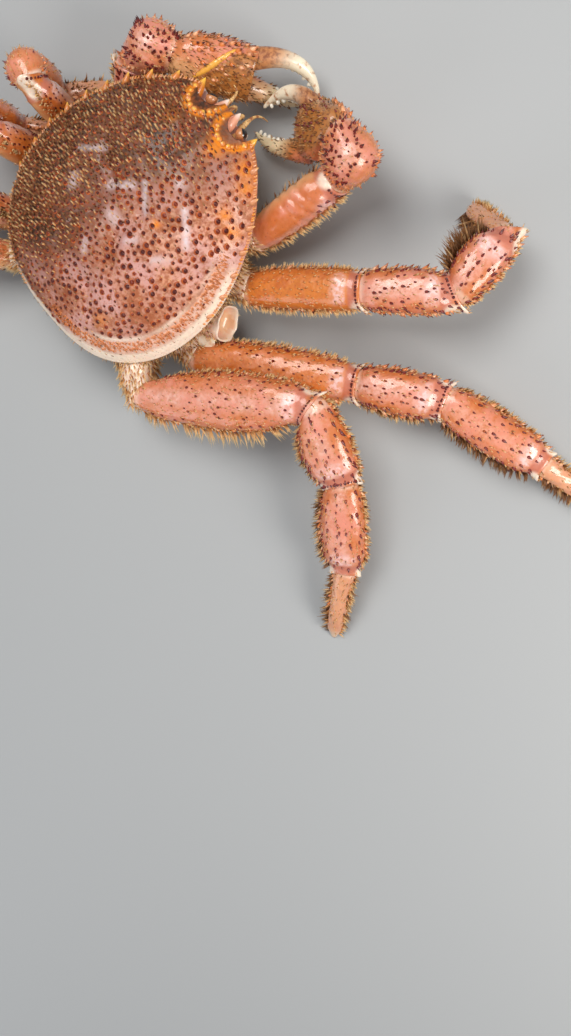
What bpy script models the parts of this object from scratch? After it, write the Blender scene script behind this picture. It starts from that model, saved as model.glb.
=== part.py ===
"""Horsehair crab, a grown male at rest on its belly, as a still life-size model.

Metres, +Z up. The front faces -Y and the crab's own right side is -X. The origin is on the
floor under the middle of the belly. The right arm and right legs lie stretched out low over
the floor, the left legs are folded with their knees up, and the second right leg is a stump.
"""

import math
import random

import bmesh
import bpy
from mathutils import Vector

# Driving dimensions of the shell, in metres
SHELL_HALF_WIDTH = 0.045
SHELL_HALF_LENGTH = 0.0485
RIM_HEIGHT_FRONT = 0.034
RIM_HEIGHT_REAR = 0.024
DOME_HEIGHT = 0.0155
SHELL_FLOOR = 0.020
SHELL_FLOOR_SHARE = 0.80

# Half outline of the shell, front to rear: shares of the half width and the half length
SHELL_OUTLINE = (
    (0.00, 1.00),
    (0.27, 0.985),
    (0.59, 0.765),
    (0.88, 0.35),
    (1.00, -0.13),
    (0.86, -0.66),
    (0.62, -0.90),
    (0.25, -1.02),
    (0.00, -1.03),
)

# Swellings and grooves of the dome: side, forward, radius, height. Those off the middle are paired
SHELL_REGIONS = (
    (0.000, 0.018, 0.015, 0.0016),
    (0.000, -0.018, 0.011, 0.0014),
    (0.024, -0.012, 0.015, 0.0016),
    (0.024, 0.024, 0.010, 0.0012),
    (0.010, -0.002, 0.005, -0.0012),
    (0.012, -0.024, 0.006, -0.0010),
    (0.020, 0.010, 0.006, -0.0010),
)

# Small distances that every joint keeps
JOINT_GAP = 0.0003
SOCKET_GAP = 0.0004
KNUCKLE_CLEAR = 0.0012
SPINE_SIDES = 5

# Trunk under the shell
THORAX_HALF_WIDTH = 0.0245
THORAX_TOP = SHELL_FLOOR - JOINT_GAP
THORAX_BOTTOM = 0.0009
THORAX_REAR = 0.0395
THORAX_FRONT_LOW = 0.015
THORAX_FRONT_HIGH = 0.0365
ABDOMEN_THICKNESS = 0.0028

# Orbits, eyes and rostrum
ORBIT_SIDE = 0.0075
ORBIT_FORWARD = 0.0465
ORBIT_HEIGHT = 0.0335
ORBIT_RADII = (0.0054, 0.0058, 0.0046)
EYE_RADIUS = 0.0021

# Half widths and half depths of each leg, at its joints and at the middle of its segments
LEG_COXA = (0.0048, 0.0052)
LEG_HIP = (0.0060, 0.0052)
LEG_KNEE = (0.0060, 0.0050)
LEG_WRIST = (0.0060, 0.0048)
LEG_ANKLE = (0.0044, 0.0038)
LEG_TOE = (0.0010, 0.0010)
DACTYL_MIDDLE = (0.0034, 0.0030)

random.seed(7)

COLOURS = {
    "shell": ((0.62, 0.30, 0.25), 0.45),
    "limb": ((0.72, 0.30, 0.20), 0.45),
    "joint": ((0.78, 0.62, 0.42), 0.50),
    "belly": ((0.80, 0.66, 0.46), 0.50),
    "claw": ((0.86, 0.76, 0.60), 0.30),
    "feeler": ((0.66, 0.45, 0.22), 0.50),
    "eye": ((0.02, 0.015, 0.015), 0.12),
}


def empty_the_scene():
    for thing in list(bpy.data.objects):
        bpy.data.objects.remove(thing, do_unlink=True)


def make_collection(name):
    collection = bpy.data.collections.new(name)
    bpy.context.scene.collection.children.link(collection)
    return collection


def make_material(name):
    colour, roughness = COLOURS[name]
    material = bpy.data.materials.new("crab " + name)
    material.use_nodes = True
    shader = material.node_tree.nodes["Principled BSDF"]
    shader.inputs["Base Color"].default_value = (*colour, 1.0)
    shader.inputs["Roughness"].default_value = roughness
    shader.inputs["Metallic"].default_value = 0.0
    material.diffuse_color = (*colour, 1.0)
    return material


empty_the_scene()
CRAB = make_collection("horsehair crab")
WORKSHOP = make_collection("pieces to fuse and cut")
MATERIALS = {name: make_material(name) for name in COLOURS}


def place(side, forward, height):
    """A point given to the crab's right, forward and up."""
    return Vector((-side, -forward, height))


def object_from(shape, name, finish=None):
    """A mesh object from a bmesh, with its faces pointing out."""
    bmesh.ops.recalc_face_normals(shape, faces=shape.faces)
    mesh = bpy.data.meshes.new(name)
    shape.to_mesh(mesh)
    shape.free()
    thing = bpy.data.objects.new(name, mesh)
    if finish:
        mesh.materials.append(MATERIALS[finish])
        CRAB.objects.link(thing)
    else:
        thing.hide_render = True
        thing.display_type = "WIRE"
        WORKSHOP.objects.link(thing)
    return thing


def loft(rings):
    """A closed bmesh through rings of points, each ring with as many points as the next."""
    shape = bmesh.new()
    rows = [[shape.verts.new(point) for point in ring] for ring in rings]
    for low, high in zip(rows, rows[1:]):
        for index in range(len(low)):
            after = (index + 1) % len(low)
            shape.faces.new((low[index], low[after], high[after], high[index]))
    shape.faces.new(rows[0])
    shape.faces.new(rows[-1])
    return shape


def keep_largest(mesh):
    """Leaves only the largest closed surface of a mesh."""
    shape = bmesh.new()
    shape.from_mesh(mesh)
    bmesh.ops.triangulate(shape, faces=shape.faces)
    left = set(shape.faces)
    surfaces = []
    while left:
        todo = [left.pop()]
        surface = list(todo)
        while todo:
            for edge in todo.pop().edges:
                for face in edge.link_faces:
                    if face in left:
                        left.remove(face)
                        todo.append(face)
                        surface.append(face)
        surfaces.append(surface)
    surfaces.sort(key=len)
    for surface in surfaces[:-1]:
        bmesh.ops.delete(shape, geom=surface, context="FACES")
    loose = [vert for vert in shape.verts if not vert.link_faces]
    bmesh.ops.delete(shape, geom=loose, context="VERTS")
    shape.to_mesh(mesh)
    shape.free()


def combine(body, pieces, operation, solver="EXACT"):
    """Joins closed pieces to a body, or cuts them from it, and removes the pieces."""
    group = bpy.data.collections.new(body.name + " pieces")
    for piece in pieces:
        group.objects.link(piece)
    step = body.modifiers.new(operation.lower(), "BOOLEAN")
    step.operation = operation
    step.operand_type = "COLLECTION"
    step.collection = group
    step.solver = solver
    bpy.context.view_layer.update()
    graph = bpy.context.evaluated_depsgraph_get()
    result = bpy.data.meshes.new_from_object(body.evaluated_get(graph))
    body.modifiers.clear()
    body.data = result
    keep_largest(result)
    for piece in pieces:
        bpy.data.objects.remove(piece, do_unlink=True)
    bpy.data.collections.remove(group)


def smooth_through(stops, at):
    """A smooth value at a share from 0 to 1, through (share, value) stops."""
    for (low, start), (high, end) in zip(stops, stops[1:]):
        if at <= high:
            share = (at - low) / (high - low)
            ease = share * share * (3 - 2 * share)
            return start + (end - start) * (0.5 * share + 0.5 * ease)
    return stops[-1][1]


# Spines, each a five-sided spike with its root sunk in what it grows from


def spike(bed, root, direction, length, radius, sunk=0.45):
    """Adds one tapered spike to a bmesh. Its root goes in by a share of its own length."""
    direction = direction.normalized()
    turn = direction.to_track_quat("Z", "Y").to_matrix().to_4x4()
    depth = length * (1 + sunk)
    middle = root + direction * (depth / 2 - length * sunk)
    turn.translation = middle
    bmesh.ops.create_cone(
        bed,
        cap_ends=True,
        segments=SPINE_SIDES,
        radius1=radius * (1 + sunk),
        radius2=0,
        depth=depth,
        matrix=turn,
    )


# Shell


def shell_corners():
    """The half outline as (angle from the front, radius) pairs, out to the middle of the rear."""
    corners = []
    for side, forward in SHELL_OUTLINE:
        across = side * SHELL_HALF_WIDTH
        ahead = forward * SHELL_HALF_LENGTH
        corners.append((math.atan2(across, ahead), math.hypot(across, ahead)))
    return corners


SHELL_CORNERS = shell_corners()


def rim_radius(angle):
    """Distance from the middle of the shell to its rim, at an angle from the front."""
    angle = abs((angle + math.pi) % (2 * math.pi) - math.pi)
    count = len(SHELL_CORNERS)
    for index in range(count - 1):
        low, high = SHELL_CORNERS[index], SHELL_CORNERS[index + 1]
        if angle > high[0] and index < count - 2:
            continue
        before = SHELL_CORNERS[index - 1] if index else (-SHELL_CORNERS[1][0], SHELL_CORNERS[1][1])
        last = SHELL_CORNERS[-2]
        after = SHELL_CORNERS[index + 2] if index < count - 2 else (2 * math.pi - last[0], last[1])
        span = high[0] - low[0]
        share = (angle - low[0]) / span
        leave = (high[1] - before[1]) / (high[0] - before[0]) * span
        arrive = (after[1] - low[1]) / (after[0] - low[0]) * span
        square, cube = share * share, share**3
        return (
            low[1] * (2 * cube - 3 * square + 1)
            + leave * (cube - 2 * square + share)
            + high[1] * (3 * square - 2 * cube)
            + arrive * (cube - square)
        )
    return SHELL_CORNERS[-1][1]


def rim_height(forward):
    share = (forward + SHELL_HALF_LENGTH) / (2 * SHELL_HALF_LENGTH)
    share = min(max(share, 0.0), 1.0)
    return RIM_HEIGHT_REAR + (RIM_HEIGHT_FRONT - RIM_HEIGHT_REAR) * share**1.2


def shell_top(angle, share):
    """A point of the shell's upper face, at an angle from the front and a share of the way out."""
    radius = rim_radius(angle) * share
    side = radius * math.sin(angle)
    forward = radius * math.cos(angle)
    height = rim_height(forward) + DOME_HEIGHT * (1 - share**2.6) ** 0.8
    for region_side, region_forward, width, rise in SHELL_REGIONS:
        for mirrored in {region_side, -region_side}:
            away = math.hypot(side - mirrored, forward - region_forward)
            height += rise * math.exp(-((away / width) ** 2)) * (1 - share**4)
    return place(side, forward, height)


def shell_normal(angle, share):
    """Outward direction of the shell's upper face."""
    step = 0.01
    centre = shell_top(angle, share)
    outward = centre - shell_top(angle, share - step)
    along = shell_top(angle + step, share) - centre
    normal = outward.cross(along)
    return normal.normalized() if normal.z > 0 else -normal.normalized()


SHELL_SIDES = 44
SHELL_SHARES = (0.16, 0.36, 0.54, 0.70, 0.83, 0.93, 1.0)
TUBERCLE_SPACING = 0.0084
TUBERCLE_LENGTH = 0.0019
TUBERCLE_RADIUS = 0.00095

# Teeth along each side of the rim: degrees from the front, length, radius
RIM_TEETH = (
    (26, 0.0032, 0.0013),
    (38, 0.0034, 0.0013),
    (49, 0.0034, 0.0012),
    (60, 0.0032, 0.0012),
    (71, 0.0030, 0.0011),
    (82, 0.0028, 0.0011),
    (93, 0.0026, 0.0010),
    (104, 0.0024, 0.0010),
    (116, 0.0022, 0.0010),
)


def build_shell():
    rings = []
    angles = [2 * math.pi * index / SHELL_SIDES for index in range(SHELL_SIDES)]
    for share in SHELL_SHARES:
        rings.append([shell_top(angle, share) for angle in angles])
    for share, drop in ((0.992, 0.10), (0.93, 0.45), (SHELL_FLOOR_SHARE, 1.0)):
        ring = []
        for angle in angles:
            point = shell_top(angle, 1.0)
            height = point.z + (SHELL_FLOOR - point.z) * drop
            ring.append(Vector((point.x * share, point.y * share, height)))
        rings.append(ring)
    shell = object_from(loft(rings), "carapace", "shell")
    orbits = []
    for side in (-1, 1):
        shape = bmesh.new()
        bmesh.ops.create_uvsphere(shape, u_segments=12, v_segments=8, radius=1)
        bmesh.ops.scale(shape, vec=ORBIT_RADII, verts=shape.verts)
        centre = place(side * ORBIT_SIDE, ORBIT_FORWARD, ORBIT_HEIGHT)
        bmesh.ops.translate(shape, vec=centre, verts=shape.verts)
        orbits.append(object_from(shape, "orbit"))
    combine(shell, orbits, "DIFFERENCE")
    return shell


def shell_spines():
    """Tubercles over the dome, teeth round the rim, and the teeth of the front."""
    bed = bmesh.new()
    rows = int(2 * SHELL_HALF_LENGTH / TUBERCLE_SPACING) + 2
    for row in range(-rows, rows + 1):
        for column in range(-rows, rows + 1):
            side = (column + 0.5 * (row % 2)) * TUBERCLE_SPACING
            forward = row * TUBERCLE_SPACING * 0.866
            side += random.uniform(-0.0012, 0.0012)
            forward += random.uniform(-0.0012, 0.0012)
            size = random.uniform(0.8, 1.2)
            angle = math.atan2(side, forward)
            share = math.hypot(side, forward) / rim_radius(angle)
            in_orbit = forward > ORBIT_FORWARD - 0.009 and abs(side) < ORBIT_SIDE + 0.007
            if share > 0.93 or share < 0.03 or in_orbit:
                continue
            lean = shell_normal(angle, share) + place(0, 0.55, 0)
            spike(
                bed,
                shell_top(angle, share),
                lean,
                TUBERCLE_LENGTH * size,
                TUBERCLE_RADIUS * size,
            )
    for side in (-1, 1):
        for degrees, length, radius in RIM_TEETH:
            angle = side * math.radians(degrees)
            outward = place(math.sin(angle), math.cos(angle), 0.15)
            lean = outward + place(0, 0.7, 0)
            spike(bed, shell_top(angle, 0.985), lean, length, radius, 0.6)
    teeth = [object_from(bed, "shell spines")]
    front = (
        ((0.0128, 0.0445, 0.0325), (0.15, 1.0, 0.12), 0.0052, 0.0020),
        ((0.0030, 0.0460, 0.0325), (0.05, 1.0, -0.10), 0.0060, 0.0019),
        ((0.0075, 0.0435, 0.0265), (0.10, 1.0, 0.10), 0.0040, 0.0016),
    )
    for side in (-1, 1):
        for (across, ahead, high), (out, on, up), length, radius in front:
            bed = bmesh.new()
            root = place(side * across, ahead, high)
            spike(bed, root, place(side * out, on, up), length, radius, 0.7)
            teeth.append(object_from(bed, "front tooth"))
    return teeth


# Trunk: the thorax carries the limbs, and the abdomen is folded under it


def thorax_ring(height, share):
    """One level of the thorax. Its front runs forward with height, as the mouth field does."""
    up = (height - THORAX_BOTTOM) / (THORAX_TOP - THORAX_BOTTOM)
    front = THORAX_FRONT_LOW + (THORAX_FRONT_HIGH - THORAX_FRONT_LOW) * up**0.9
    sides = 32
    ring = []
    for index in range(sides):
        angle = 2 * math.pi * index / sides
        across = abs(math.sin(angle)) ** 0.85 * math.copysign(1, math.sin(angle))
        ahead = math.cos(angle)
        reach = front if ahead > 0 else THORAX_REAR * share
        ring.append(place(across * THORAX_HALF_WIDTH * share, ahead * reach, height))
    return ring


def build_thorax():
    levels = ((THORAX_BOTTOM, 0.78), (0.0035, 0.92), (0.0085, 1.0), (0.0135, 1.0), (THORAX_TOP, 0.94))
    rings = [thorax_ring(height, share) for height, share in levels]
    return object_from(loft(rings), "thorax", "belly")


# Stations of the abdomen from its hinge behind the shell to its tip: forward, height, half width
ABDOMEN_STATIONS = (
    (-0.0420, 0.0150, 0.0120),
    (-0.0430, 0.0090, 0.0125),
    (-0.0420, 0.0042, 0.0128),
    (-0.0375, 0.0014, 0.0124),
    (-0.0290, 0.0014, 0.0112),
    (-0.0200, 0.0014, 0.0096),
    (-0.0105, 0.0014, 0.0076),
    (-0.0010, 0.0014, 0.0058),
    (0.0070, 0.0014, 0.0040),
    (0.0110, 0.0014, 0.0022),
)


def abdomen_shape(grown):
    """The folded abdomen as a bent strip, grown all round by the given distance for a cutter."""
    half = ABDOMEN_THICKNESS / 2
    rings = []
    last = len(ABDOMEN_STATIONS) - 1
    for index, (forward, height, width) in enumerate(ABDOMEN_STATIONS):
        before = ABDOMEN_STATIONS[max(index - 1, 0)]
        after = ABDOMEN_STATIONS[min(index + 1, last)]
        along = Vector((0, -(after[0] - before[0]), after[1] - before[1])).normalized()
        outer = Vector((0, -along.z, along.y))
        centre = place(0, forward, height)
        if index in (0, last):
            centre += along * (grown if index else -grown)
        wide = width + grown
        thick = half + grown
        side = Vector((1, 0, 0))
        rings.append(
            [
                centre + side * wide * across + outer * thick * depth
                for across, depth in ((-1, 0), (-0.86, 1), (0.86, 1), (1, 0), (0.9, -1), (-0.9, -1))
            ]
        )
    return loft(rings)


def maxilliped_shape(side, grown):
    """One outer mouthpart as a plate that leans on the mouth field, beside the middle line."""
    low = Vector((0, -(THORAX_FRONT_LOW + 0.0020), THORAX_BOTTOM + 0.0022))
    high = Vector((0, -(THORAX_FRONT_HIGH - 0.0005), THORAX_TOP - 0.0030))
    along = (high - low).normalized()
    outer = Vector((0, -along.z, along.y))
    outer = outer if outer.y < 0 else -outer
    inner_edge = 0.00045 - grown
    rings = []
    for share, width in ((0, 0.55), (0.12, 0.9), (0.55, 1.0), (0.62, 0.93), (0.7, 0.98), (1, 0.72)):
        centre = low.lerp(high, share)
        if share in (0, 1):
            centre += along * (grown if share else -grown)
        out = inner_edge + 0.0086 * width + 2 * grown
        section = (
            (inner_edge, -0.0012 - grown),
            (inner_edge, 0.0009 + grown),
            ((inner_edge + out) / 2, 0.0013 + grown),
            (out, 0.0006 + grown),
            (out, -0.0012 - grown),
        )
        rings.append(
            [centre + outer * depth + Vector((-side * across, 0, 0)) for across, depth in section]
        )
    return loft(rings)


# Limbs: each segment is a loft along a bowed line, from one joint plane to the next


class Segment:
    """One limb segment between two joints. Its section is a soft-cornered ellipse."""

    squareness = 2.5

    def __init__(self, start, end, bow, thin, start_plane, end_plane, sizes):
        self.start = start
        self.end = end
        self.bow = (start + end) / 2 + bow * 2
        self.thin = thin
        self.start_plane = start_plane
        self.end_plane = end_plane
        self.sizes = sizes

    def centre(self, at):
        return self.start.lerp(self.bow, at).lerp(self.bow.lerp(self.end, at), at)

    def tangent(self, at):
        return (self.bow.lerp(self.end, at) - self.start.lerp(self.bow, at)).normalized()

    def frame(self, at):
        """The plane of a section: its wide and thin directions and its normal."""
        normal = self.tangent(at)
        reach = 0.5
        if at < reach and self.start_plane:
            normal = normal.lerp(self.start_plane, 1 - at / reach).normalized()
        if at > 1 - reach and self.end_plane:
            normal = normal.lerp(self.end_plane, 1 - (1 - at) / reach).normalized()
        thin = (self.thin - normal * self.thin.dot(normal)).normalized()
        return thin.cross(normal).normalized(), thin, normal

    def size(self, at):
        start, middle, end = self.sizes
        values = []
        for axis in (0, 1):
            stops = (
                (0, start[axis]),
                (0.2, start[axis] * 0.3 + middle[axis] * 0.7),
                (0.5, middle[axis]),
                (0.8, middle[axis] * 0.85 + end[axis] * 0.15),
                (1, end[axis]),
            )
            values.append(smooth_through(stops, at))
        return values

    def point(self, at, degrees, grown=0.0):
        wide, thin, _ = self.frame(at)
        half_wide, half_thin = self.size(at)
        cosine = math.cos(math.radians(degrees))
        sine = math.sin(math.radians(degrees))
        norm = (abs(cosine) ** self.squareness + abs(sine) ** self.squareness) ** (1 / self.squareness)
        across = wide * (half_wide + grown) * cosine / norm
        deep = thin * (half_thin + grown) * sine / norm
        return self.centre(at) + across + deep

    def normal(self, at, degrees):
        wide, thin, _ = self.frame(at)
        half_wide, half_thin = self.size(at)
        cosine = math.cos(math.radians(degrees))
        sine = math.sin(math.radians(degrees))
        return (wide * cosine / half_wide + thin * sine / half_thin).normalized()

    def rings(self, stations, sides, grown=0.0, gap=JOINT_GAP / 2):
        """Rings of the loft. The end rings stand back from the joint planes by half the gap."""
        rings = []
        for at in stations:
            shift = Vector((0, 0, 0))
            if at == 0 and self.start_plane:
                shift = self.start_plane * (gap - grown)
            if at == 1 and self.end_plane:
                shift = -self.end_plane * (gap - grown)
            rings.append(
                [
                    self.point(at, 360 * index / sides, grown) + shift
                    for index in range(sides)
                ]
            )
        return rings


STATIONS = (0, 0.12, 0.32, 0.6, 0.86, 1)
SHORT_STATIONS = (0, 0.2, 0.5, 0.8, 1)
SEGMENT_SIDES = 8


def joint_planes(joints, bows):
    """The normal of each joint's plane: halfway between the two segments that meet there."""
    planes = []
    for index, joint in enumerate(joints):
        directions = []
        if index:
            middle = (joints[index - 1] + joint) / 2 + bows[index - 1] * 2
            directions.append((joint - middle).normalized())
        if index < len(joints) - 1:
            middle = (joint + joints[index + 1]) / 2 + bows[index] * 2
            directions.append((middle - joint).normalized())
        planes.append(sum(directions, Vector((0, 0, 0))).normalized())
    return planes


def spine_row(bed, segment, degrees, first, last, count, length, radius, forward=0.9):
    """A row of spikes along one edge of a segment, leaning towards its far end."""
    for index in range(count):
        at = first + (last - first) * (index + random.uniform(-0.15, 0.15)) / max(count - 1, 1)
        turn = degrees + random.uniform(-7, 7)
        size = random.uniform(0.85, 1.2)
        normal = segment.normal(at, turn)
        lean = normal + segment.tangent(at) * forward
        root = segment.point(at, turn) - normal * 0.0002
        spike(bed, root, lean, length * size, radius * size)


# A knuckle is the short, round segment where a folded limb turns back on itself


def knuckle(before, after, centre, radii):
    """The round segment between two others, out from their end rings to a ball round a centre."""
    ball = bmesh.new()
    bmesh.ops.create_icosphere(ball, subdivisions=2, radius=1)
    points = before.rings((1,), SEGMENT_SIDES, gap=-JOINT_GAP / 2)[0]
    points += after.rings((0,), SEGMENT_SIDES, gap=-JOINT_GAP / 2)[0]
    for vert in ball.verts:
        point = centre + Vector([radius * value for radius, value in zip(radii, vert.co)])
        past_start = (point - before.end).dot(before.end_plane)
        past_end = (after.start - point).dot(after.start_plane)
        if past_start > KNUCKLE_CLEAR and past_end > KNUCKLE_CLEAR:
            points.append(point)
    ball.free()
    shape = bmesh.new()
    verts = [shape.verts.new(point) for point in points]
    hull = bmesh.ops.convex_hull(shape, input=verts)
    unused = [item for item in hull["geom_interior"] if isinstance(item, bmesh.types.BMVert)]
    bmesh.ops.delete(shape, geom=unused, context="VERTS")
    return shape


def knuckle_spines(bed, body, centre, planes, count, length, radius, clear=0.72):
    """Spikes spread evenly over a knuckle, clear of its two joint faces and its underside."""
    bpy.context.view_layer.update()
    golden = math.pi * (3 - math.sqrt(5))
    for index in range(count):
        height = 1 - 2 * (index + 0.5) / count
        reach = math.sqrt(1 - height * height)
        turn = golden * index
        direction = Vector((reach * math.cos(turn), reach * math.sin(turn), height))
        if direction.z < -0.35 or max(abs(direction.dot(plane)) for plane in planes) > clear:
            continue
        hit, root, normal, _ = body.ray_cast(centre, direction)
        if hit:
            size = random.uniform(0.85, 1.2)
            spike(bed, root, normal + direction, length * size, radius * size)


# Leg joints, in metres to the side, forward and up: root, hip, knee, wrist, ankle, tip.
# A folded leg also gives its knuckle's centre and the planes of its two joints
LEGS = {
    "leg_R1": dict(
        joints=(
            (0.0225, 0.0050, 0.0105),
            (0.0440, 0.0128, 0.0150),
            (0.0729, 0.0435, 0.0250),
            (0.0938, 0.0659, 0.0250),
            (0.0900, 0.0895, 0.0220),
            (0.0725, 0.0868, 0.0),
        ),
        merus=(0.0070, 0.0062),
        carpus=(0.0076, 0.0064),
        propodus=(0.0078, 0.0060),
        thin=(0.0, 0.0, 1.0),
    ),
    "leg_R3": dict(
        joints=(
            (0.0235, -0.0175, 0.0105),
            (0.0475, -0.0195, 0.0120),
            (0.0950, 0.0205, 0.0165),
            (0.1190, 0.0395, 0.0160),
            (0.1575, 0.0510, 0.0110),
            (0.1812, 0.0558, 0.0),
        ),
        merus=(0.0082, 0.0064),
        carpus=(0.0080, 0.0062),
        propodus=(0.0078, 0.0056),
        thin=(0.0, 0.0, 1.0),
    ),
    "leg_R4": dict(
        joints=(
            (0.0165, -0.0295, 0.0105),
            (0.0455, -0.0430, 0.0195),
            (0.0915, 0.0043, 0.0285),
            (0.1178, -0.0058, 0.0215),
            (0.1434, -0.0280, 0.0125),
            (0.1611, -0.0525, 0.0),
        ),
        merus=(0.0104, 0.0062),
        carpus=(0.0092, 0.0062),
        propodus=(0.0084, 0.0056),
        thin=(0.0, 0.0, 1.0),
    ),
    "leg_L1": dict(
        joints=(
            (-0.0225, 0.0050, 0.0100),
            (-0.0415, 0.0005, 0.0090),
            (-0.0575, 0.0032, 0.0330),
            (-0.0655, 0.0050, 0.0245),
            (-0.0595, 0.0030, 0.0070),
            (-0.0495, 0.0185, 0.0),
        ),
        merus=(0.0064, 0.0058),
        carpus=(0.0070, 0.0070),
        propodus=(0.0060, 0.0054),
        thin=(0.3, 1.0, 0.0),
        knuckle=(-0.0628, 0.0042, 0.0314),
        fold=((-0.95, 0.25, 0.15), (0.0, -0.1, -1.0)),
    ),
    "leg_L2": dict(
        joints=(
            (-0.0235, -0.0065, 0.0100),
            (-0.0430, -0.0160, 0.0085),
            (-0.0598, -0.0205, 0.0330),
            (-0.0683, -0.0195, 0.0245),
            (-0.0628, -0.0165, 0.0070),
            (-0.0505, -0.0050, 0.0),
        ),
        merus=(0.0074, 0.0060),
        carpus=(0.0076, 0.0074),
        propodus=(0.0066, 0.0056),
        thin=(0.0, 1.0, 0.0),
        knuckle=(-0.0660, -0.0200, 0.0312),
        fold=((-0.97, 0.1, 0.15), (0.0, 0.1, -1.0)),
    ),
    "leg_L3": dict(
        joints=(
            (-0.0235, -0.0175, 0.0100),
            (-0.0355, -0.0355, 0.0110),
            (-0.0570, -0.0535, 0.0320),
            (-0.0770, -0.0600, 0.0260),
            (-0.1000, -0.0560, 0.0120),
            (-0.1230, -0.0460, 0.0),
        ),
        merus=(0.0082, 0.0064),
        carpus=(0.0080, 0.0062),
        propodus=(0.0076, 0.0056),
        thin=(-0.4, 1.0, 0.0),
    ),
    "leg_L4": dict(
        joints=(
            (-0.0165, -0.0295, 0.0105),
            (-0.0290, -0.0500, 0.0130),
            (-0.0600, -0.0800, 0.0300),
            (-0.0800, -0.0900, 0.0230),
            (-0.1000, -0.0890, 0.0110),
            (-0.1200, -0.0830, 0.0),
        ),
        merus=(0.0092, 0.0062),
        carpus=(0.0086, 0.0062),
        propodus=(0.0080, 0.0056),
        thin=(-0.8, 1.0, 0.0),
    ),
}

LEG_PARTS = ("coxa", "merus", "carpus", "propodus", "dactyl")


def leg_segments(leg):
    """The five segments of a leg, from its joints and the sizes of its middle parts."""
    joints = [place(*joint) for joint in leg["joints"]]
    up = Vector((0, 0, 1))
    bows = [Vector((0, 0, 0)), up * 0.0004, up * 0.0010, up * 0.0006, up * 0.0016]
    planes = joint_planes(joints, bows)
    planes[-1] = Vector((0, 0, -1))
    if "fold" in leg:
        planes[2:4] = [place(*plane).normalized() for plane in leg["fold"]]
    thin = place(*leg["thin"]).normalized()
    at_joints = (LEG_COXA, LEG_HIP, LEG_KNEE, LEG_WRIST, LEG_ANKLE, LEG_TOE)
    middles = (
        (LEG_COXA[0] * 1.03, LEG_COXA[1] * 1.02),
        leg["merus"],
        leg["carpus"],
        leg["propodus"],
        DACTYL_MIDDLE,
    )
    segments = []
    for index, middle in enumerate(middles):
        segments.append(
            Segment(
                joints[index],
                joints[index + 1],
                bows[index],
                thin,
                planes[index],
                planes[index + 1],
                (at_joints[index], middle, at_joints[index + 1]),
            )
        )
    return segments


def build_segment(segment, name, finish, short=False):
    stations = SHORT_STATIONS if short else STATIONS
    rings = segment.rings(stations, SEGMENT_SIDES)
    return object_from(loft(rings), name, finish)


def grown_copy(segment):
    """A copy of a segment grown all round, which cuts a neighbour clear of it."""
    return object_from(loft(segment.rings(STATIONS, SEGMENT_SIDES, SOCKET_GAP)), "clearance")


def leg_spines(part, segment, bed, folded):
    """Rows of spines on one leg segment: along both edges and over the upper face."""
    if part == "merus":
        last = 0.78 if folded else 0.9
        inner_last = 0.42 if folded else 0.9
        spine_row(bed, segment, 8, 0.15, last, 4, 0.0026, 0.0008)
        spine_row(bed, segment, 172, 0.15, inner_last, 4, 0.0026, 0.0008)
        spine_row(bed, segment, 90, 0.66, last, 2, 0.0018, 0.0008)
    elif part == "propodus" and folded:
        spine_row(bed, segment, 90, 0.35, 0.85, 3, 0.0026, 0.0009)
        spine_row(bed, segment, 270, 0.35, 0.85, 3, 0.0026, 0.0009)
    elif part in ("carpus", "propodus"):
        spine_row(bed, segment, 8, 0.15, 0.88, 3, 0.0030, 0.0009)
        spine_row(bed, segment, 172, 0.15, 0.88, 3, 0.0030, 0.0009)
        spine_row(bed, segment, 65, 0.2, 0.8, 2, 0.0022, 0.0008)
        spine_row(bed, segment, 115, 0.2, 0.8, 2, 0.0022, 0.0008)


def build_leg(name, leg):
    """Builds the nodes of one leg and returns its coxa's segment."""
    segments = leg_segments(leg)
    merus, propodus = segments[1], segments[3]
    folded = "knuckle" in leg
    for part, segment in zip(LEG_PARTS, segments):
        finish = {"coxa": "joint", "dactyl": "claw"}.get(part, "limb")
        bed = bmesh.new()
        if part == "carpus" and folded:
            centre = place(*leg["knuckle"])
            radii = (leg["carpus"][0], leg["carpus"][0], leg["carpus"][1])
            shape = knuckle(merus, propodus, centre, radii)
            body = object_from(shape, name + "_carpus", finish)
            combine(body, [grown_copy(merus), grown_copy(propodus)], "DIFFERENCE")
            planes = (segment.start_plane, segment.end_plane)
            knuckle_spines(bed, body, centre, planes, 20, 0.0028, 0.0009, 0.6)
        else:
            body = build_segment(segment, name + "_" + part, finish, part == "coxa")
            if part == "propodus" and folded:
                combine(body, [grown_copy(merus)], "DIFFERENCE")
            leg_spines(part, segment, bed, folded)
        if bed.faces:
            combine(body, [object_from(bed, "spines")], "UNION")
        else:
            bed.free()
    return segments[0]


# Stump of the second right leg, broken off past its hip, with a hollow end
STUMP_JOINTS = ((0.0235, -0.0080, 0.0110), (0.0400, -0.0070, 0.0145), (0.0475, -0.0020, 0.0175))
STUMP_HOLLOW_DEPTH = 0.0035
STUMP_HOLLOW_SHARE = 0.66


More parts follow.
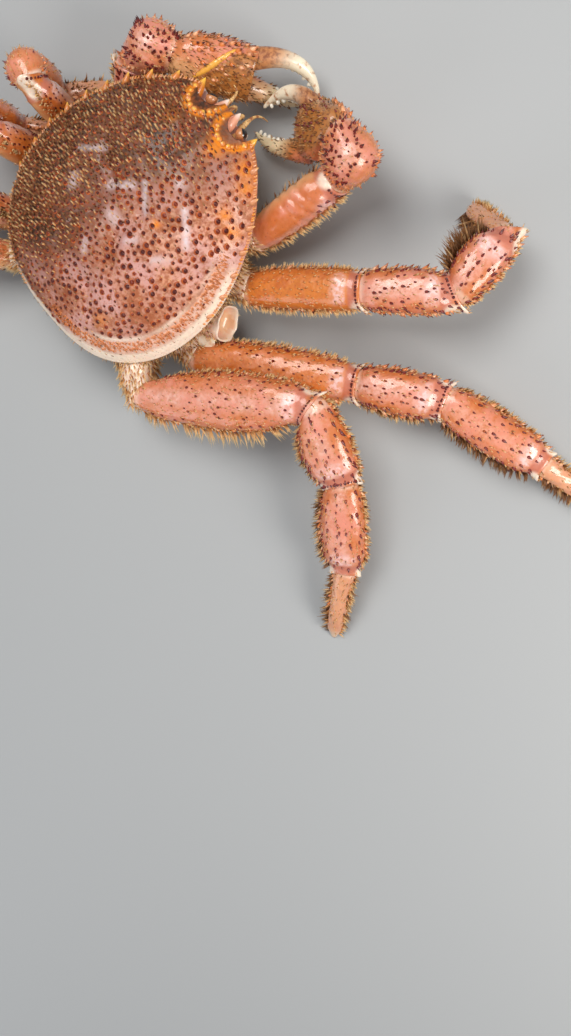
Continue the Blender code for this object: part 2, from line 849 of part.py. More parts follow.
def build_stump():
    joints = [place(*joint) for joint in STUMP_JOINTS]
    none = Vector((0, 0, 0))
    planes = joint_planes(joints, [none, none])
    thin = Vector((0, 0, 1))
    inner = Segment(
        joints[0], joints[1], none, thin, planes[0], planes[1],
        (LEG_COXA, LEG_COXA, LEG_HIP),
    )
    outer = Segment(
        joints[1], joints[2], none, thin, planes[1], planes[2],
        (LEG_HIP, (0.0066, 0.0058), (0.0064, 0.0056)),
    )
    rings = inner.rings((0, 0.5), SEGMENT_SIDES)
    rings += outer.rings((0, 0.5, 1), SEGMENT_SIDES, gap=0)
    stump = object_from(loft(rings), "leg_R2_stump", "joint")
    mouth = outer.rings((1,), SEGMENT_SIDES, gap=0)[0]
    centre = outer.centre(1)
    along = planes[2]
    wider = [centre + (point - centre) * STUMP_HOLLOW_SHARE + along * 0.001 for point in mouth]
    deeper = [
        centre + (point - centre) * STUMP_HOLLOW_SHARE * 0.8 - along * STUMP_HOLLOW_DEPTH
        for point in mouth
    ]
    combine(stump, [object_from(loft([deeper, wider]), "hollow")], "DIFFERENCE")
    return inner


# Arms: coxa, merus, carpus, then the hand with its fixed finger, and the moving finger
ARM_HIP = (0.0062, 0.0056)
ARM_ELBOW = (0.0064, 0.0060)
ARM_MERUS = (0.0078, 0.0066)
PALM_WRIST = (0.0068, 0.0056)
PALM_MIDDLE = (0.0098, 0.0068)
PALM_END = (0.0092, 0.0056)
FINGER_ROOT = (0.0038, 0.0034)
FINGER_MIDDLE = (0.0026, 0.0024)
FINGER_TIP = (0.0006, 0.0006)

ARMS = {
    "arm_R": dict(
        joints=(
            (0.0180, 0.0170, 0.0105),
            (0.0320, 0.0270, 0.0145),
            (0.0380, 0.0595, 0.0215),
            (0.0292, 0.0702, 0.0290),
            (0.0172, 0.0629, 0.0135),
        ),
        knuckle=(0.0385, 0.0685, 0.0285),
        knuckle_radii=(0.0088, 0.0092, 0.0086),
        fold=((0.10, 0.90, 0.40), (-0.95, 0.15, -0.30)),
        merus_thin=(1.0, -0.1, 0.0),
        hand_across=(0.008, -0.0135, -0.005),
        fixed=((0.0205, 0.0570, 0.0140), (0.0120, 0.0505, 0.0100), (0.0023, 0.0484, 0.0070)),
        moving=((0.0146, 0.0690, 0.0185), (0.0050, 0.0668, 0.0170), (0.0001, 0.0561, 0.0120)),
    ),
    "arm_L": dict(
        joints=(
            (-0.0180, 0.0165, 0.0095),
            (-0.0248, 0.0190, 0.0095),
            (-0.0402, 0.0315, 0.0205),
            (-0.0295, 0.0460, 0.0265),
            (-0.0086, 0.0605, 0.0170),
        ),
        knuckle=(-0.0370, 0.0420, 0.0270),
        knuckle_radii=(0.0090, 0.0088, 0.0082),
        fold=((-0.35, 0.85, 0.40), (0.88, 0.40, -0.25)),
        merus_thin=(0.0, 0.0, 1.0),
        hand_across=(0.003, -0.010, -0.008),
        fixed=((-0.0080, 0.0569, 0.0130), (0.0012, 0.0630, 0.0070), (0.0075, 0.0681, 0.0040)),
        moving=((-0.0099, 0.0658, 0.0190), (-0.0008, 0.0744, 0.0140), (0.0105, 0.0714, 0.0060)),
    ),
}


def finger_rings(points, thin, sizes, grown=0.0):
    """Rings of a finger that bends through its middle point, grown all round for a cutter."""
    root, middle, tip = points
    control = middle * 2 - (root + tip) / 2
    rings = []
    for at in (0, 0.2, 0.45, 0.7, 0.88, 1):
        first = root.lerp(control, at)
        second = control.lerp(tip, at)
        centre = first.lerp(second, at)
        along = (second - first).normalized()
        flat = (thin - along * thin.dot(along)).normalized()
        wide = flat.cross(along)
        stops = ((0, sizes[0]), (0.5, sizes[1]), (1, sizes[2]))
        half_wide, half_thin = (
            smooth_through([(share, size[axis]) for share, size in stops], at) for axis in (0, 1)
        )
        shift = along * -grown if at == 0 else Vector((0, 0, 0))
        ring = []
        for index in range(SEGMENT_SIDES):
            turn = 2 * math.pi * index / SEGMENT_SIDES
            across = wide * (half_wide + grown) * math.cos(turn)
            deep = flat * (half_thin + grown) * math.sin(turn)
            ring.append(centre + across + deep + shift)
        rings.append(ring)
    return rings


def finger_teeth(points, towards, count):
    """Blunt teeth on the inner edge of a finger, one closed piece each."""
    root, middle, tip = points
    control = middle * 2 - (root + tip) / 2
    bed = bmesh.new()
    for index in range(count):
        at = 0.38 + 0.48 * index / (count - 1)
        first = root.lerp(control, at)
        second = control.lerp(tip, at)
        centre = first.lerp(second, at)
        along = (second - first).normalized()
        inward = (towards - along * towards.dot(along)).normalized()
        edge = FINGER_MIDDLE[0] * (1.25 - 0.75 * at)
        spike(bed, centre + inward * edge * 0.8, inward + along * 0.2, 0.0016, 0.0009, 0.6)
    return object_from(bed, "teeth")


def build_arm(name, arm):
    """Builds the five nodes of one arm and returns its coxa's segment."""
    joints = [place(*joint) for joint in arm["joints"]]
    none = Vector((0, 0, 0))
    bows = [none, Vector((0, 0, 0.0006)), none, none]
    planes = joint_planes(joints, bows)
    planes[2:4] = [place(*plane).normalized() for plane in arm["fold"]]
    across = place(*arm["hand_across"]).normalized()
    palm_along = (joints[4] - joints[3]).normalized()
    hand_thin = palm_along.cross(across).normalized()
    merus_thin = place(*arm["merus_thin"]).normalized()
    rows = {
        "coxa": (0, merus_thin, (LEG_COXA, (0.0058, 0.0056), ARM_HIP)),
        "merus": (1, merus_thin, (ARM_HIP, ARM_MERUS, ARM_ELBOW)),
        "palm": (3, hand_thin, (PALM_WRIST, PALM_MIDDLE, PALM_END)),
    }
    segments = {}
    bodies = {}
    for part, (index, thin, sizes) in rows.items():
        segment = Segment(
            joints[index],
            joints[index + 1],
            bows[index],
            thin,
            planes[index],
            planes[index + 1],
            sizes,
        )
        segments[part] = segment
        finish = "joint" if part == "coxa" else "limb"
        bodies[part] = build_segment(segment, name + "_" + part, finish)
    merus, palm = segments["merus"], segments["palm"]
    centre = place(*arm["knuckle"])
    shape = knuckle(merus, palm, centre, arm["knuckle_radii"])
    bodies["carpus"] = object_from(shape, name + "_carpus", "limb")
    beds = {"merus": bmesh.new(), "carpus": bmesh.new(), "palm": bmesh.new()}
    knuckle_spines(beds["carpus"], bodies["carpus"], centre, planes[2:4], 30, 0.0028, 0.0010)
    for degrees in (60, 120, 200):
        spine_row(beds["merus"], merus, degrees, 0.5, 0.88, 3, 0.0024, 0.0009)
    for degrees in (150, 180, 210):
        spine_row(beds["palm"], palm, degrees, 0.15, 0.85, 4, 0.0028, 0.0010)
    for degrees in (100, 255):
        spine_row(beds["palm"], palm, degrees, 0.2, 0.75, 3, 0.0020, 0.0009)
    for part in ("merus", "carpus"):
        combine(bodies[part], [object_from(beds[part], "spines")], "UNION")
    fixed = [place(*point) for point in arm["fixed"]]
    moving = [place(*point) for point in arm["moving"]]
    sunk = (fixed[0] - fixed[1]).normalized() * 0.003
    fixed_sizes = ((0.0044, 0.0038), FINGER_MIDDLE, FINGER_TIP)
    fixed_rings = finger_rings([fixed[0] + sunk, fixed[1], fixed[2]], hand_thin, fixed_sizes)
    extras = [
        object_from(loft(fixed_rings), "fixed finger"),
        finger_teeth(fixed, moving[1] - fixed[1], 4),
        object_from(beds["palm"], "spines"),
    ]
    combine(bodies["palm"], extras, "UNION")
    sizes = (FINGER_ROOT, FINGER_MIDDLE, FINGER_TIP)
    socket = object_from(loft(finger_rings(moving, hand_thin, sizes, SOCKET_GAP)), "finger socket")
    combine(bodies["palm"], [socket], "DIFFERENCE")
    finger = object_from(loft(finger_rings(moving, hand_thin, sizes)), name + "_finger", "claw")
    combine(finger, [finger_teeth(moving, fixed[1] - moving[1], 4)], "UNION")
    return segments["coxa"]


# Small pieces of the face


def feeler(name, points, radii, grown):
    """A tapered feeler: a round curve through points, made a mesh. A cutter is grown all round."""
    points = list(points)
    points[0] = points[0] + (points[0] - points[1]).normalized() * grown
    radii = [radius + grown for radius in radii]
    curve = bpy.data.curves.new(name, "CURVE")
    curve.dimensions = "3D"
    curve.bevel_depth = 1.0
    curve.bevel_resolution = 1
    curve.use_fill_caps = True
    line = curve.splines.new("POLY")
    line.points.add(len(points) - 1)
    for spot, point, radius in zip(line.points, points, radii):
        spot.co = (*point, 1)
        spot.radius = radius
    drawn = bpy.data.objects.new(name + " line", curve)
    bpy.context.scene.collection.objects.link(drawn)
    bpy.context.view_layer.update()
    graph = bpy.context.evaluated_depsgraph_get()
    mesh = bpy.data.meshes.new_from_object(drawn.evaluated_get(graph))
    shape = bmesh.new()
    shape.from_mesh(mesh)
    bmesh.ops.remove_doubles(shape, verts=shape.verts, dist=0.00001)
    bpy.data.objects.remove(drawn, do_unlink=True)
    return shape


def bend_through(points, steps):
    """Evenly spread points of a smooth curve through four given points."""
    first, second, third, fourth = points
    line = []
    for index in range(steps + 1):
        at = index / steps
        back = 1 - at
        line.append(
            first * back**3 + second * 3 * back**2 * at + third * 3 * back * at**2 + fourth * at**3
        )
    return line


def antenna_shape(side, grown):
    droop = 0.0180 if side > 0 else 0.0290
    points = bend_through(
        (
            place(side * 0.0048, 0.0400, 0.0265),
            place(side * 0.0050, 0.0500, 0.0270),
            place(side * 0.0030, 0.0545, 0.0260),
            place(side * 0.0065, 0.0545, droop),
        ),
        9,
    )
    radii = (0.0013, 0.0013, 0.0012, 0.0010, 0.0007, 0.00055, 0.0005, 0.00045, 0.0004, 0.0003)
    return feeler("antenna", points, radii, grown)


def antennule_shape(side, grown):
    points = bend_through(
        (
            place(side * 0.0018, 0.0400, 0.0285),
            place(side * 0.0018, 0.0500, 0.0300),
            place(side * 0.0024, 0.0520, 0.0255),
            place(side * 0.0016, 0.0485, 0.0240),
        ),
        6,
    )
    radii = (0.0010, 0.0010, 0.0009, 0.0008, 0.0007, 0.0006, 0.0004)
    return feeler("antennule", points, radii, grown)


def eye_shape(side, grown):
    """The two closed pieces of an eye: its ball and its short stalk."""
    ball = bmesh.new()
    bmesh.ops.create_uvsphere(ball, u_segments=12, v_segments=8, radius=EYE_RADIUS + grown)
    centre = place(side * 0.0078, 0.0462, 0.0312)
    bmesh.ops.translate(ball, vec=centre, verts=ball.verts)
    root = place(side * 0.0045, 0.0395, 0.0300)
    stalk = feeler("stalk", (root, centre), (0.0013, 0.0012), grown)
    return ball, stalk


def build_face(shell, thorax):
    """Builds eyes, feelers and mouthparts, and cuts each one's socket."""
    shell_sockets = []
    for side, letter in ((1, "R"), (-1, "L")):
        ball, stalk = eye_shape(side, 0.0)
        eye = object_from(ball, "eye_" + letter, "eye")
        combine(eye, [object_from(stalk, "stalk")], "UNION")
        shell_sockets += [object_from(piece, "eye socket") for piece in eye_shape(side, SOCKET_GAP)]
        object_from(antenna_shape(side, 0.0), "antenna_" + letter, "feeler")
        shell_sockets.append(object_from(antenna_shape(side, SOCKET_GAP), "antenna socket"))
        object_from(antennule_shape(side, 0.0), "antennule_" + letter, "feeler")
        shell_sockets.append(object_from(antennule_shape(side, SOCKET_GAP), "antennule socket"))
        object_from(maxilliped_shape(side, 0.0), "maxilliped_" + letter, "belly")
    combine(shell, shell_sockets, "DIFFERENCE")
    cutters = [object_from(maxilliped_shape(side, SOCKET_GAP), "mouth cut") for side in (1, -1)]
    combine(thorax, cutters, "DIFFERENCE")


# The whole crab


def build_crab():
    shell = build_shell()
    combine(shell, shell_spines(), "UNION")
    thorax = build_thorax()
    build_face(shell, thorax)
    object_from(abdomen_shape(0.0), "abdomen", "belly")
    hips = []
    for name, leg in LEGS.items():
        hips.append(build_leg(name, leg))
    hips.append(build_stump())
    for name, arm in ARMS.items():
        hips.append(build_arm(name, arm))
    sockets = [object_from(abdomen_shape(SOCKET_GAP), "abdomen cut")]
    for hip in hips:
        rings = hip.rings(SHORT_STATIONS, SEGMENT_SIDES, SOCKET_GAP, 0)
        sockets.append(object_from(loft(rings), "hip socket"))
    combine(thorax, sockets, "DIFFERENCE")


build_crab()
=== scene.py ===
import math

import bmesh
import bpy
import numpy as np
from mathutils import Matrix, Vector


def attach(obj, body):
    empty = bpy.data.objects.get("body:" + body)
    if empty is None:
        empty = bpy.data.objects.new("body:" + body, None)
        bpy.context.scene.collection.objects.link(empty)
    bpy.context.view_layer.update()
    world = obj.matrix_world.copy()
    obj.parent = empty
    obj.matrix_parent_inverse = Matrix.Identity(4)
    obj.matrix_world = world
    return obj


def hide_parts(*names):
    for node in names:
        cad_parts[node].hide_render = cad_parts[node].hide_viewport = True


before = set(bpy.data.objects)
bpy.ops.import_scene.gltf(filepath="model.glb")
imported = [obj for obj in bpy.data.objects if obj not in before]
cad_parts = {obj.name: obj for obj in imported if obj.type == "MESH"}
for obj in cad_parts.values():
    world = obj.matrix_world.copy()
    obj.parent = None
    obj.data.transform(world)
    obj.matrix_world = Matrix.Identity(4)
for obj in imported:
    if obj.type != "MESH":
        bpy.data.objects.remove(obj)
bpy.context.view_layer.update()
rng = np.random.default_rng(23)

# Camera
# It looks down from the crab's right and a little behind, turned so that the crab's front is at
# the right of the picture. It sits where a hand-held camera would, about 37 cm over the floor.
CAMERA_PLACE = Vector((-0.1273, -0.0795, 0.3661))
CAMERA_RIGHT = Vector((-0.6356, -0.7286, -0.2552))
CAMERA_UP = Vector((0.7712, -0.6141, -0.1674))
PHOTO_LONG_SIDE = 1036
PHOTO_FOCAL_PIXELS = 1000
SENSOR = 36.0


def add_object(name, data):
    thing = bpy.data.objects.new(name, data)
    bpy.context.scene.collection.objects.link(thing)
    return thing


lens = bpy.data.cameras.new("camera")
lens.sensor_width = SENSOR
lens.lens = SENSOR * PHOTO_FOCAL_PIXELS / PHOTO_LONG_SIDE
lens.clip_start = 0.01
camera = add_object("camera", lens)
camera_right = CAMERA_RIGHT.normalized()
camera_back = camera_right.cross(CAMERA_UP).normalized()
camera_up = camera_back.cross(camera_right)
camera.matrix_world = Matrix.Translation(CAMERA_PLACE) @ Matrix(
    (camera_right, camera_up, camera_back)
).transposed().to_4x4()
bpy.context.scene.camera = camera
bpy.context.scene.view_settings.view_transform = "Standard"

# Studio
# A pale floor, a wide soft lamp high on the far side, a smaller one for the gloss of the damp
# shell, and an even pale surround.
FLOOR_HALF = 1.6
FLOOR_COLOUR = (0.41, 0.42, 0.425, 1)
SURROUND_COLOUR = (0.86, 0.90, 0.95, 1)
SURROUND_STRENGTH = 0.33
LAMPS = (
    ("broad lamp", (0.25, -0.15, 0.75), 0.45, 4.3, (1.0, 0.98, 0.95)),
    ("near lamp", (-0.50, -0.22, 0.34), 0.25, 2.3, (1.0, 0.96, 0.91)),
    ("low lamp", (-0.10, 0.65, 0.35), 0.40, 0.9, (0.95, 0.97, 1.0)),
)


def mesh_from(name, shape):
    mesh = bpy.data.meshes.new(name)
    shape.to_mesh(mesh)
    shape.free()
    return mesh


floor_shape = bmesh.new()
bmesh.ops.create_grid(floor_shape, x_segments=1, y_segments=1, size=FLOOR_HALF)
floor = add_object("floor", mesh_from("floor", floor_shape))
floor_finish = bpy.data.materials.new("pale floor")
floor_finish.use_nodes = True
floor_shader = floor_finish.node_tree.nodes["Principled BSDF"]
floor_shader.inputs["Base Color"].default_value = FLOOR_COLOUR
floor_shader.inputs["Roughness"].default_value = 0.55
floor.data.materials.append(floor_finish)

world = bpy.data.worlds.new("surround")
world.use_nodes = True
world.node_tree.nodes["Background"].inputs["Color"].default_value = SURROUND_COLOUR
world.node_tree.nodes["Background"].inputs["Strength"].default_value = SURROUND_STRENGTH
bpy.context.scene.world = world
for name, spot, size, power, colour in LAMPS:
    light = bpy.data.lights.new(name, "AREA")
    light.size = size
    light.energy = power
    light.color = colour
    lamp = add_object(name, light)
    lamp.location = spot
    lamp.rotation_euler = (-Vector(spot)).to_track_quat("-Z", "Y").to_euler()

# Shell plate
# The carapace is one hard plate, pale lilac pink on the near side and browner under its coat on
# the far side and in front. It is a grid of rings from the middle of the dome to the rim and
# under it, raised and sunk as the real one's lobes and grooves are.
HALF_WIDTH = 0.045
HALF_LENGTH = 0.0485
RIM_FRONT = 0.034
RIM_REAR = 0.024
DOME = 0.0155
PLATE_FLOOR = 0.020
OUTLINE = (
    (0.00, 1.00), (0.27, 0.985), (0.59, 0.765), (0.88, 0.35), (1.00, -0.13),
    (0.86, -0.66), (0.62, -0.90), (0.25, -1.02), (0.00, -1.03),
)
# Lobes: side, forward, radius, rise. Each one off the middle line is paired
LOBES = (
    (0.000, 0.020, 0.013, 0.0014), (0.000, -0.016, 0.010, 0.0016), (0.000, -0.034, 0.008, 0.0008),
    (0.014, 0.021, 0.009, 0.0016), (0.024, -0.012, 0.015, 0.0016), (0.029, 0.011, 0.009, 0.0012),
    (0.026, 0.027, 0.007, 0.0010), (0.007, 0.036, 0.006, 0.0009), (0.019, -0.029, 0.010, 0.0009),
)
# Grooves: side and forward of the two ends, half width, depth. Each one is paired
GROOVES = (
    ((0.0015, 0.0115), (0.0072, 0.0058), 0.0017, 0.0010),
    ((0.0072, 0.0058), (0.0150, 0.0090), 0.0020, 0.0009),
    ((0.0150, 0.0090), (0.0250, 0.0190), 0.0024, 0.0011),
    ((0.0250, 0.0190), (0.0350, 0.0240), 0.0024, 0.0010),
    ((0.0072, 0.0058), (0.0062, -0.0060), 0.0018, 0.0010),
    ((0.0062, -0.0060), (0.0105, -0.0140), 0.0020, 0.0011),
    ((0.0105, -0.0140), (0.0085, -0.0270), 0.0022, 0.0008),
    ((0.0000, 0.0260), (0.0000, 0.0400), 0.0022, 0.0008),
    ((0.0085, -0.0270), (0.0200, -0.0380), 0.0026, 0.0008),
)
PLATE_SIDES = 216
PLATE_RINGS = 76
ORBIT_SIDE = 0.0075
ORBIT_FORWARD = 0.0465
ORBIT_HEIGHT = 0.0335
ORBIT_RADII = (0.0054, 0.0058, 0.0046)


def place(side, forward, height):
    """Points given to the crab's right, forward and up, in the frame's own axes."""
    side, forward, height = np.broadcast_arrays(side, forward, height)
    return np.stack((-side, -forward, height), axis=-1).astype(float)


def unit(vectors):
    return vectors / np.maximum(np.linalg.norm(vectors, axis=-1, keepdims=True), 1e-12)


def ease(value, low, high):
    """0 below low, 1 above high, and a smooth step between."""
    share = np.clip((value - low) / (high - low), 0, 1)
    return share * share * (3 - 2 * share)


def ripple(points, scale, seed):
    """Smooth noise of about -1 to 1 over points: a few sine waves in scattered directions."""
    waves = np.random.default_rng(seed)
    total = np.zeros(points.shape[:-1])
    for _ in range(7):
        direction = unit(waves.normal(size=3))
        pitch = scale * waves.uniform(0.6, 1.5)
        total += np.sin(points @ direction * 2 * math.pi / pitch + waves.uniform(0, 6.3))
    return total / 3.5


def rim_corners():
    angles = np.array([math.atan2(s * HALF_WIDTH, f * HALF_LENGTH) for s, f in OUTLINE])
    reaches = np.array([math.hypot(s * HALF_WIDTH, f * HALF_LENGTH) for s, f in OUTLINE])
    angles = np.concatenate(([-angles[1]], angles, [2 * math.pi - angles[-2]]))
    return angles, np.concatenate(([reaches[1]], reaches, [reaches[-2]]))


CORNER_ANGLES, CORNER_REACHES = rim_corners()


def rim_reach(angle):
    """Distance from the middle of the plate to its rim, at angles from the front."""
    angle = np.abs((angle + math.pi) % (2 * math.pi) - math.pi)
    last = len(CORNER_ANGLES) - 3
    index = np.clip(np.searchsorted(CORNER_ANGLES, angle, side="left") - 1, 1, last)
    angles = [CORNER_ANGLES[index + step] for step in (-1, 0, 1, 2)]
    reaches = [CORNER_REACHES[index + step] for step in (-1, 0, 1, 2)]
    span = angles[2] - angles[1]
    share = (angle - angles[1]) / span
    leave = (reaches[2] - reaches[0]) / (angles[2] - angles[0]) * span
    arrive = (reaches[3] - reaches[1]) / (angles[3] - angles[1]) * span
    square, cube = share**2, share**3
    return (
        reaches[1] * (2 * cube - 3 * square + 1)
        + leave * (cube - 2 * square + share)
        + reaches[2] * (3 * square - 2 * cube)
        + arrive * (cube - square)
    )


def rim_height(forward):
    share = np.clip((forward + HALF_LENGTH) / (2 * HALF_LENGTH), 0, 1)
    return RIM_REAR + (RIM_FRONT - RIM_REAR) * share**1.2


def from_line(side, forward, start, end):
    """Distance in plan from a short line."""
    across, ahead = end[0] - start[0], end[1] - start[1]
    long = across**2 + ahead**2
    share = np.clip(((side - start[0]) * across + (forward - start[1]) * ahead) / long, 0, 1)
    return np.hypot(side - start[0] - share * across, forward - start[1] - share * ahead)


def plate_point(side, forward):
    """Points of the plate's upper face over places in plan."""
    angle = np.arctan2(side, forward)
    share = np.minimum(np.hypot(side, forward) / rim_reach(angle), 1.0)
    height = rim_height(forward) + DOME * (1 - share**2.6) ** 0.8
    inside = 1 - share**4
    for lobe_side, lobe_forward, radius, rise in LOBES:
        for mirrored in {lobe_side, -lobe_side}:
            away = np.hypot(side - mirrored, forward - lobe_forward)
            height = height + rise * np.exp(-((away / radius) ** 2)) * inside
    for start, end, half_width, depth in GROOVES:
        away = from_line(np.abs(side), forward, start, end)
        height = height - depth * np.exp(-((away / half_width) ** 2)) * inside
    points = place(side, forward, height)
    points[..., 2] += ripple(points * (1, 1, 0), 0.009, 3) * 0.00022
    return points


def plate_normal(side, forward):
    step = 0.0004
    shrink = 0.985
    side, forward = side * shrink, forward * shrink
    along_x = plate_point(side + step, forward) - plate_point(side - step, forward)
    along_y = plate_point(side, forward + step) - plate_point(side, forward - step)
    normal = unit(np.cross(along_x, along_y))
    return normal * np.sign(normal[..., 2:3])


def grid_mesh(name, rows, closed_ends=(True, True)):
    """A mesh object from rows of points that each go once round, closed by a point at the ends."""
    count, sides = rows.shape[:2]
    points = [tuple(point) for point in rows.reshape(-1, 3)]
    faces = []
    for row in range(count - 1):
        for index in range(sides):
            after = (index + 1) % sides
            low, high = row * sides, (row + 1) * sides
            faces.append((low + index, low + after, high + after, high + index))
    for end, row in ((0, 0), (1, count - 1)):
        if not closed_ends[end]:
            continue
        points.append(tuple(rows[row].mean(axis=0)))
        for index in range(sides):
            after = (index + 1) % sides
            faces.append((row * sides + after, row * sides + index, len(points) - 1))
    mesh = bpy.data.meshes.new(name)
    mesh.from_pydata(points, [], faces)
    shape = bmesh.new()
    shape.from_mesh(mesh)
    bmesh.ops.recalc_face_normals(shape, faces=shape.faces)
    shape.to_mesh(mesh)
    shape.free()
    mesh.shade_smooth()
    return add_object(name, mesh)


def set_attribute(thing, name, values, kind="FLOAT"):
    """Writes one value a vertex. Vertices past the values, at closed ends, take the last one."""
    attribute = thing.data.attributes.new(name, kind, "POINT")
    values = np.asarray(values, float).reshape(-1, 3 if kind == "FLOAT_VECTOR" else 1)
    missing = len(thing.data.vertices) - len(values)
    values = np.concatenate((values, np.repeat(values[-1:], max(missing, 0), axis=0)))
    attribute.data.foreach_set("vector" if kind == "FLOAT_VECTOR" else "value", values.ravel())


def set_attributes(thing, **columns):
    for name, values in columns.items():
        set_attribute(thing, name, values)


def vertices_of(thing):
    points = np.empty(len(thing.data.vertices) * 3)
    thing.data.vertices.foreach_get("co", points)
    return points.reshape(-1, 3)


def apply_modifiers(thing):
    """Turns an object's modifiers into plain mesh, with its attributes kept."""
    graph = bpy.context.evaluated_depsgraph_get()
    mesh = bpy.data.meshes.new_from_object(thing.evaluated_get(graph))
    thing.modifiers.clear()
    thing.data = mesh
    return thing


def ellipsoid(name, centre, radii, segments=32):
    shape = bmesh.new()
    bmesh.ops.create_uvsphere(shape, u_segments=segments, v_segments=segments // 2, radius=1)
    bmesh.ops.scale(shape, vec=radii, verts=shape.verts)
    bmesh.ops.translate(shape, vec=Vector(centre), verts=shape.verts)
    mesh = mesh_from(name, shape)
    mesh.shade_smooth()
    return add_object(name, mesh)


def coat_share(side, forward):
    """How thickly the plate is coated: 1 on the far side, some in front and behind, 0 nearby."""
    bare_front = 0.012 * ease(forward, 0.006, 0.026)
    bare_rear = 0.010 * ease(-forward, 0.020, 0.036)
    return 1 - ease(side - bare_front + bare_rear, -0.020, 0.018)


plate_angles = np.linspace(0, 2 * math.pi, PLATE_SIDES, endpoint=False)
plate_rows = []
for share in np.linspace(0.02, 1, PLATE_RINGS) ** 0.85:
    reach = rim_reach(plate_angles) * share
    plate_rows.append(plate_point(reach * np.sin(plate_angles), reach * np.cos(plate_angles)))
for share, drop in (
    (1.006, 0.03), (1.004, 0.07), (0.994, 0.13), (0.975, 0.25), (0.95, 0.38),
    (0.92, 0.50), (0.89, 0.66), (0.85, 0.84), (0.80, 1.0), (0.70, 1.04), (0.5, 1.04),
):
    rim = plate_rows[PLATE_RINGS - 1]
    row = rim * (share, share, 1)
    row[:, 2] += (PLATE_FLOOR - rim[:, 2]) * drop
    plate_rows.append(row)
plate_rows = np.array(plate_rows)
carapace = grid_mesh("carapace_plate", plate_rows)
for side in (-1, 1):
    centre = place(side * ORBIT_SIDE, ORBIT_FORWARD, ORBIT_HEIGHT)
    orbit = ellipsoid("orbit", centre, ORBIT_RADII, 40)
    cut = carapace.modifiers.new("orbit", "BOOLEAN")
    cut.operation = "DIFFERENCE"
    cut.object = orbit
    apply_modifiers(carapace)
    bpy.data.objects.remove(orbit)

# Finish of the shell
# A damp, waxy plate: lilac pink where it is nearly bare, tan and olive brown under the coat, with
# pale scars where muscles hold inside, orange by the orbit and along the near rim, and a cream
# band round the rear edge.


def tone(red, green, blue):
    """A colour given as it looks on a screen, 0 to 255, made linear for the shader."""
    shares = [value / 255 for value in (red, green, blue)]
    return (*[s / 12.92 if s <= 0.04045 else ((s + 0.055) / 1.055) ** 2.4 for s in shares], 1.0)


class Value:
    """One output of a material's nodes. Python's operators on it add the Math nodes."""

    def __init__(self, finish, socket):
        self.finish = finish
        self.socket = socket

    def __add__(self, other):
        return self.finish.maths("ADD", self, other)

    def __sub__(self, other):
        return self.finish.maths("SUBTRACT", self, other)

    def __rsub__(self, other):
        return self.finish.maths("SUBTRACT", other, self)

    def __mul__(self, other):
        return self.finish.maths("MULTIPLY", self, other)

    __radd__ = __add__
    __rmul__ = __mul__

    def step(self, low, high):
        """A smooth step from 0 at low to 1 at high, or down where high is under low."""
        settings = {"interpolation_type": "SMOOTHSTEP"}
        if low > high:
            return 1 - self.step(high, low)
        return self.finish.node("ShaderNodeMapRange", settings, (self, low, high))


class Finish:
    """A material in the making: a Principled shader with its constant sockets set first."""

    def __init__(self, name, constants):
        self.material = bpy.data.materials.new(name)
        self.material.use_nodes = True
        self.tree = self.material.node_tree
        self.shader = self.tree.nodes["Principled BSDF"]
        for socket, value in constants.items():
            self.shader.inputs[socket].default_value = value

    def node(self, kind, settings=None, values=(), output=0):
        made = self.tree.nodes.new(kind)
        for key, value in (settings or {}).items():
            setattr(made, key, value)
        named = {socket.identifier: socket for socket in made.inputs}
        for key, value in values.items() if isinstance(values, dict) else enumerate(values):
            socket = named[key] if isinstance(key, str) else made.inputs[key]
            if isinstance(value, Value):
                self.tree.links.new(value.socket, socket)
            else:
                socket.default_value = value
        given = {socket.identifier: socket for socket in made.outputs}
        return Value(self, given[output] if output in given else made.outputs[output])

    def maths(self, operation, *values):
        return self.node("ShaderNodeMath", {"operation": operation}, values)

    def place(self):
        return self.node("ShaderNodeTexCoord", output="Object")

    def attribute(self, name):
        return self.node("ShaderNodeAttribute", {"attribute_name": name}, output="Fac")

    def noise(self, scale, detail):
        values = {"Vector": self.place(), "Scale": scale, "Detail": detail, "Roughness": 0.55}
        return self.node("ShaderNodeTexNoise", None, values)

    def cells(self, scale):
        values = {"Vector": self.place(), "Scale": scale}
        return self.node("ShaderNodeTexVoronoi", {"feature": "F1"}, values)

    def mix(self, low, high, share):
        values = {"Factor_Float": share, "A_Color": low, "B_Color": high}
        return self.node("ShaderNodeMix", {"data_type": "RGBA"}, values, "Result_Color")

    def layers(self, ground, *coats):
        """Colours laid over a ground one after another, each by its own share."""
        for colour, share in coats:
            ground = self.mix(ground, colour, share)
        return ground

    def bump(self, height, distance, strength):
        values = {"Height": height, "Distance": distance, "Strength": strength}
        return self.node("ShaderNodeBump", None, values)

    def feed(self, **links):
        for name, value in links.items():
            self.tree.links.new(value.socket, self.shader.inputs[name.replace("_", " ")])
        return self.material


# Pale scars: side and forward of both ends, half width, strength
PALE_MARKS = (
    ((-0.0250, 0.0029), (-0.0174, 0.0107), 0.0007, 0.7),
    ((-0.0077, 0.0035), (-0.0015, 0.0099), 0.0010, 0.9),
    ((0.0015, 0.0137), (0.0074, 0.0067), 0.0008, 1.0),
    ((0.0168, 0.0179), (0.0250, 0.0097), 0.0009, 1.0),
    ((-0.0190, -0.0045), (-0.0176, -0.0061), 0.0014, 0.8),
    ((-0.0002, -0.0025), (0.0020, -0.0025), 0.0017, 0.7),
    ((-0.0009, -0.0153), (0.0009, -0.0181), 0.0011, 0.7),
    ((0.0100, 0.0218), (0.0106, 0.0228), 0.0012, 0.7),
    ((0.0203, -0.0019), (0.0238, 0.0023), 0.0010, 0.7),
    ((0.0091, -0.0045), (0.0117, -0.0017), 0.0010, 0.6),
)
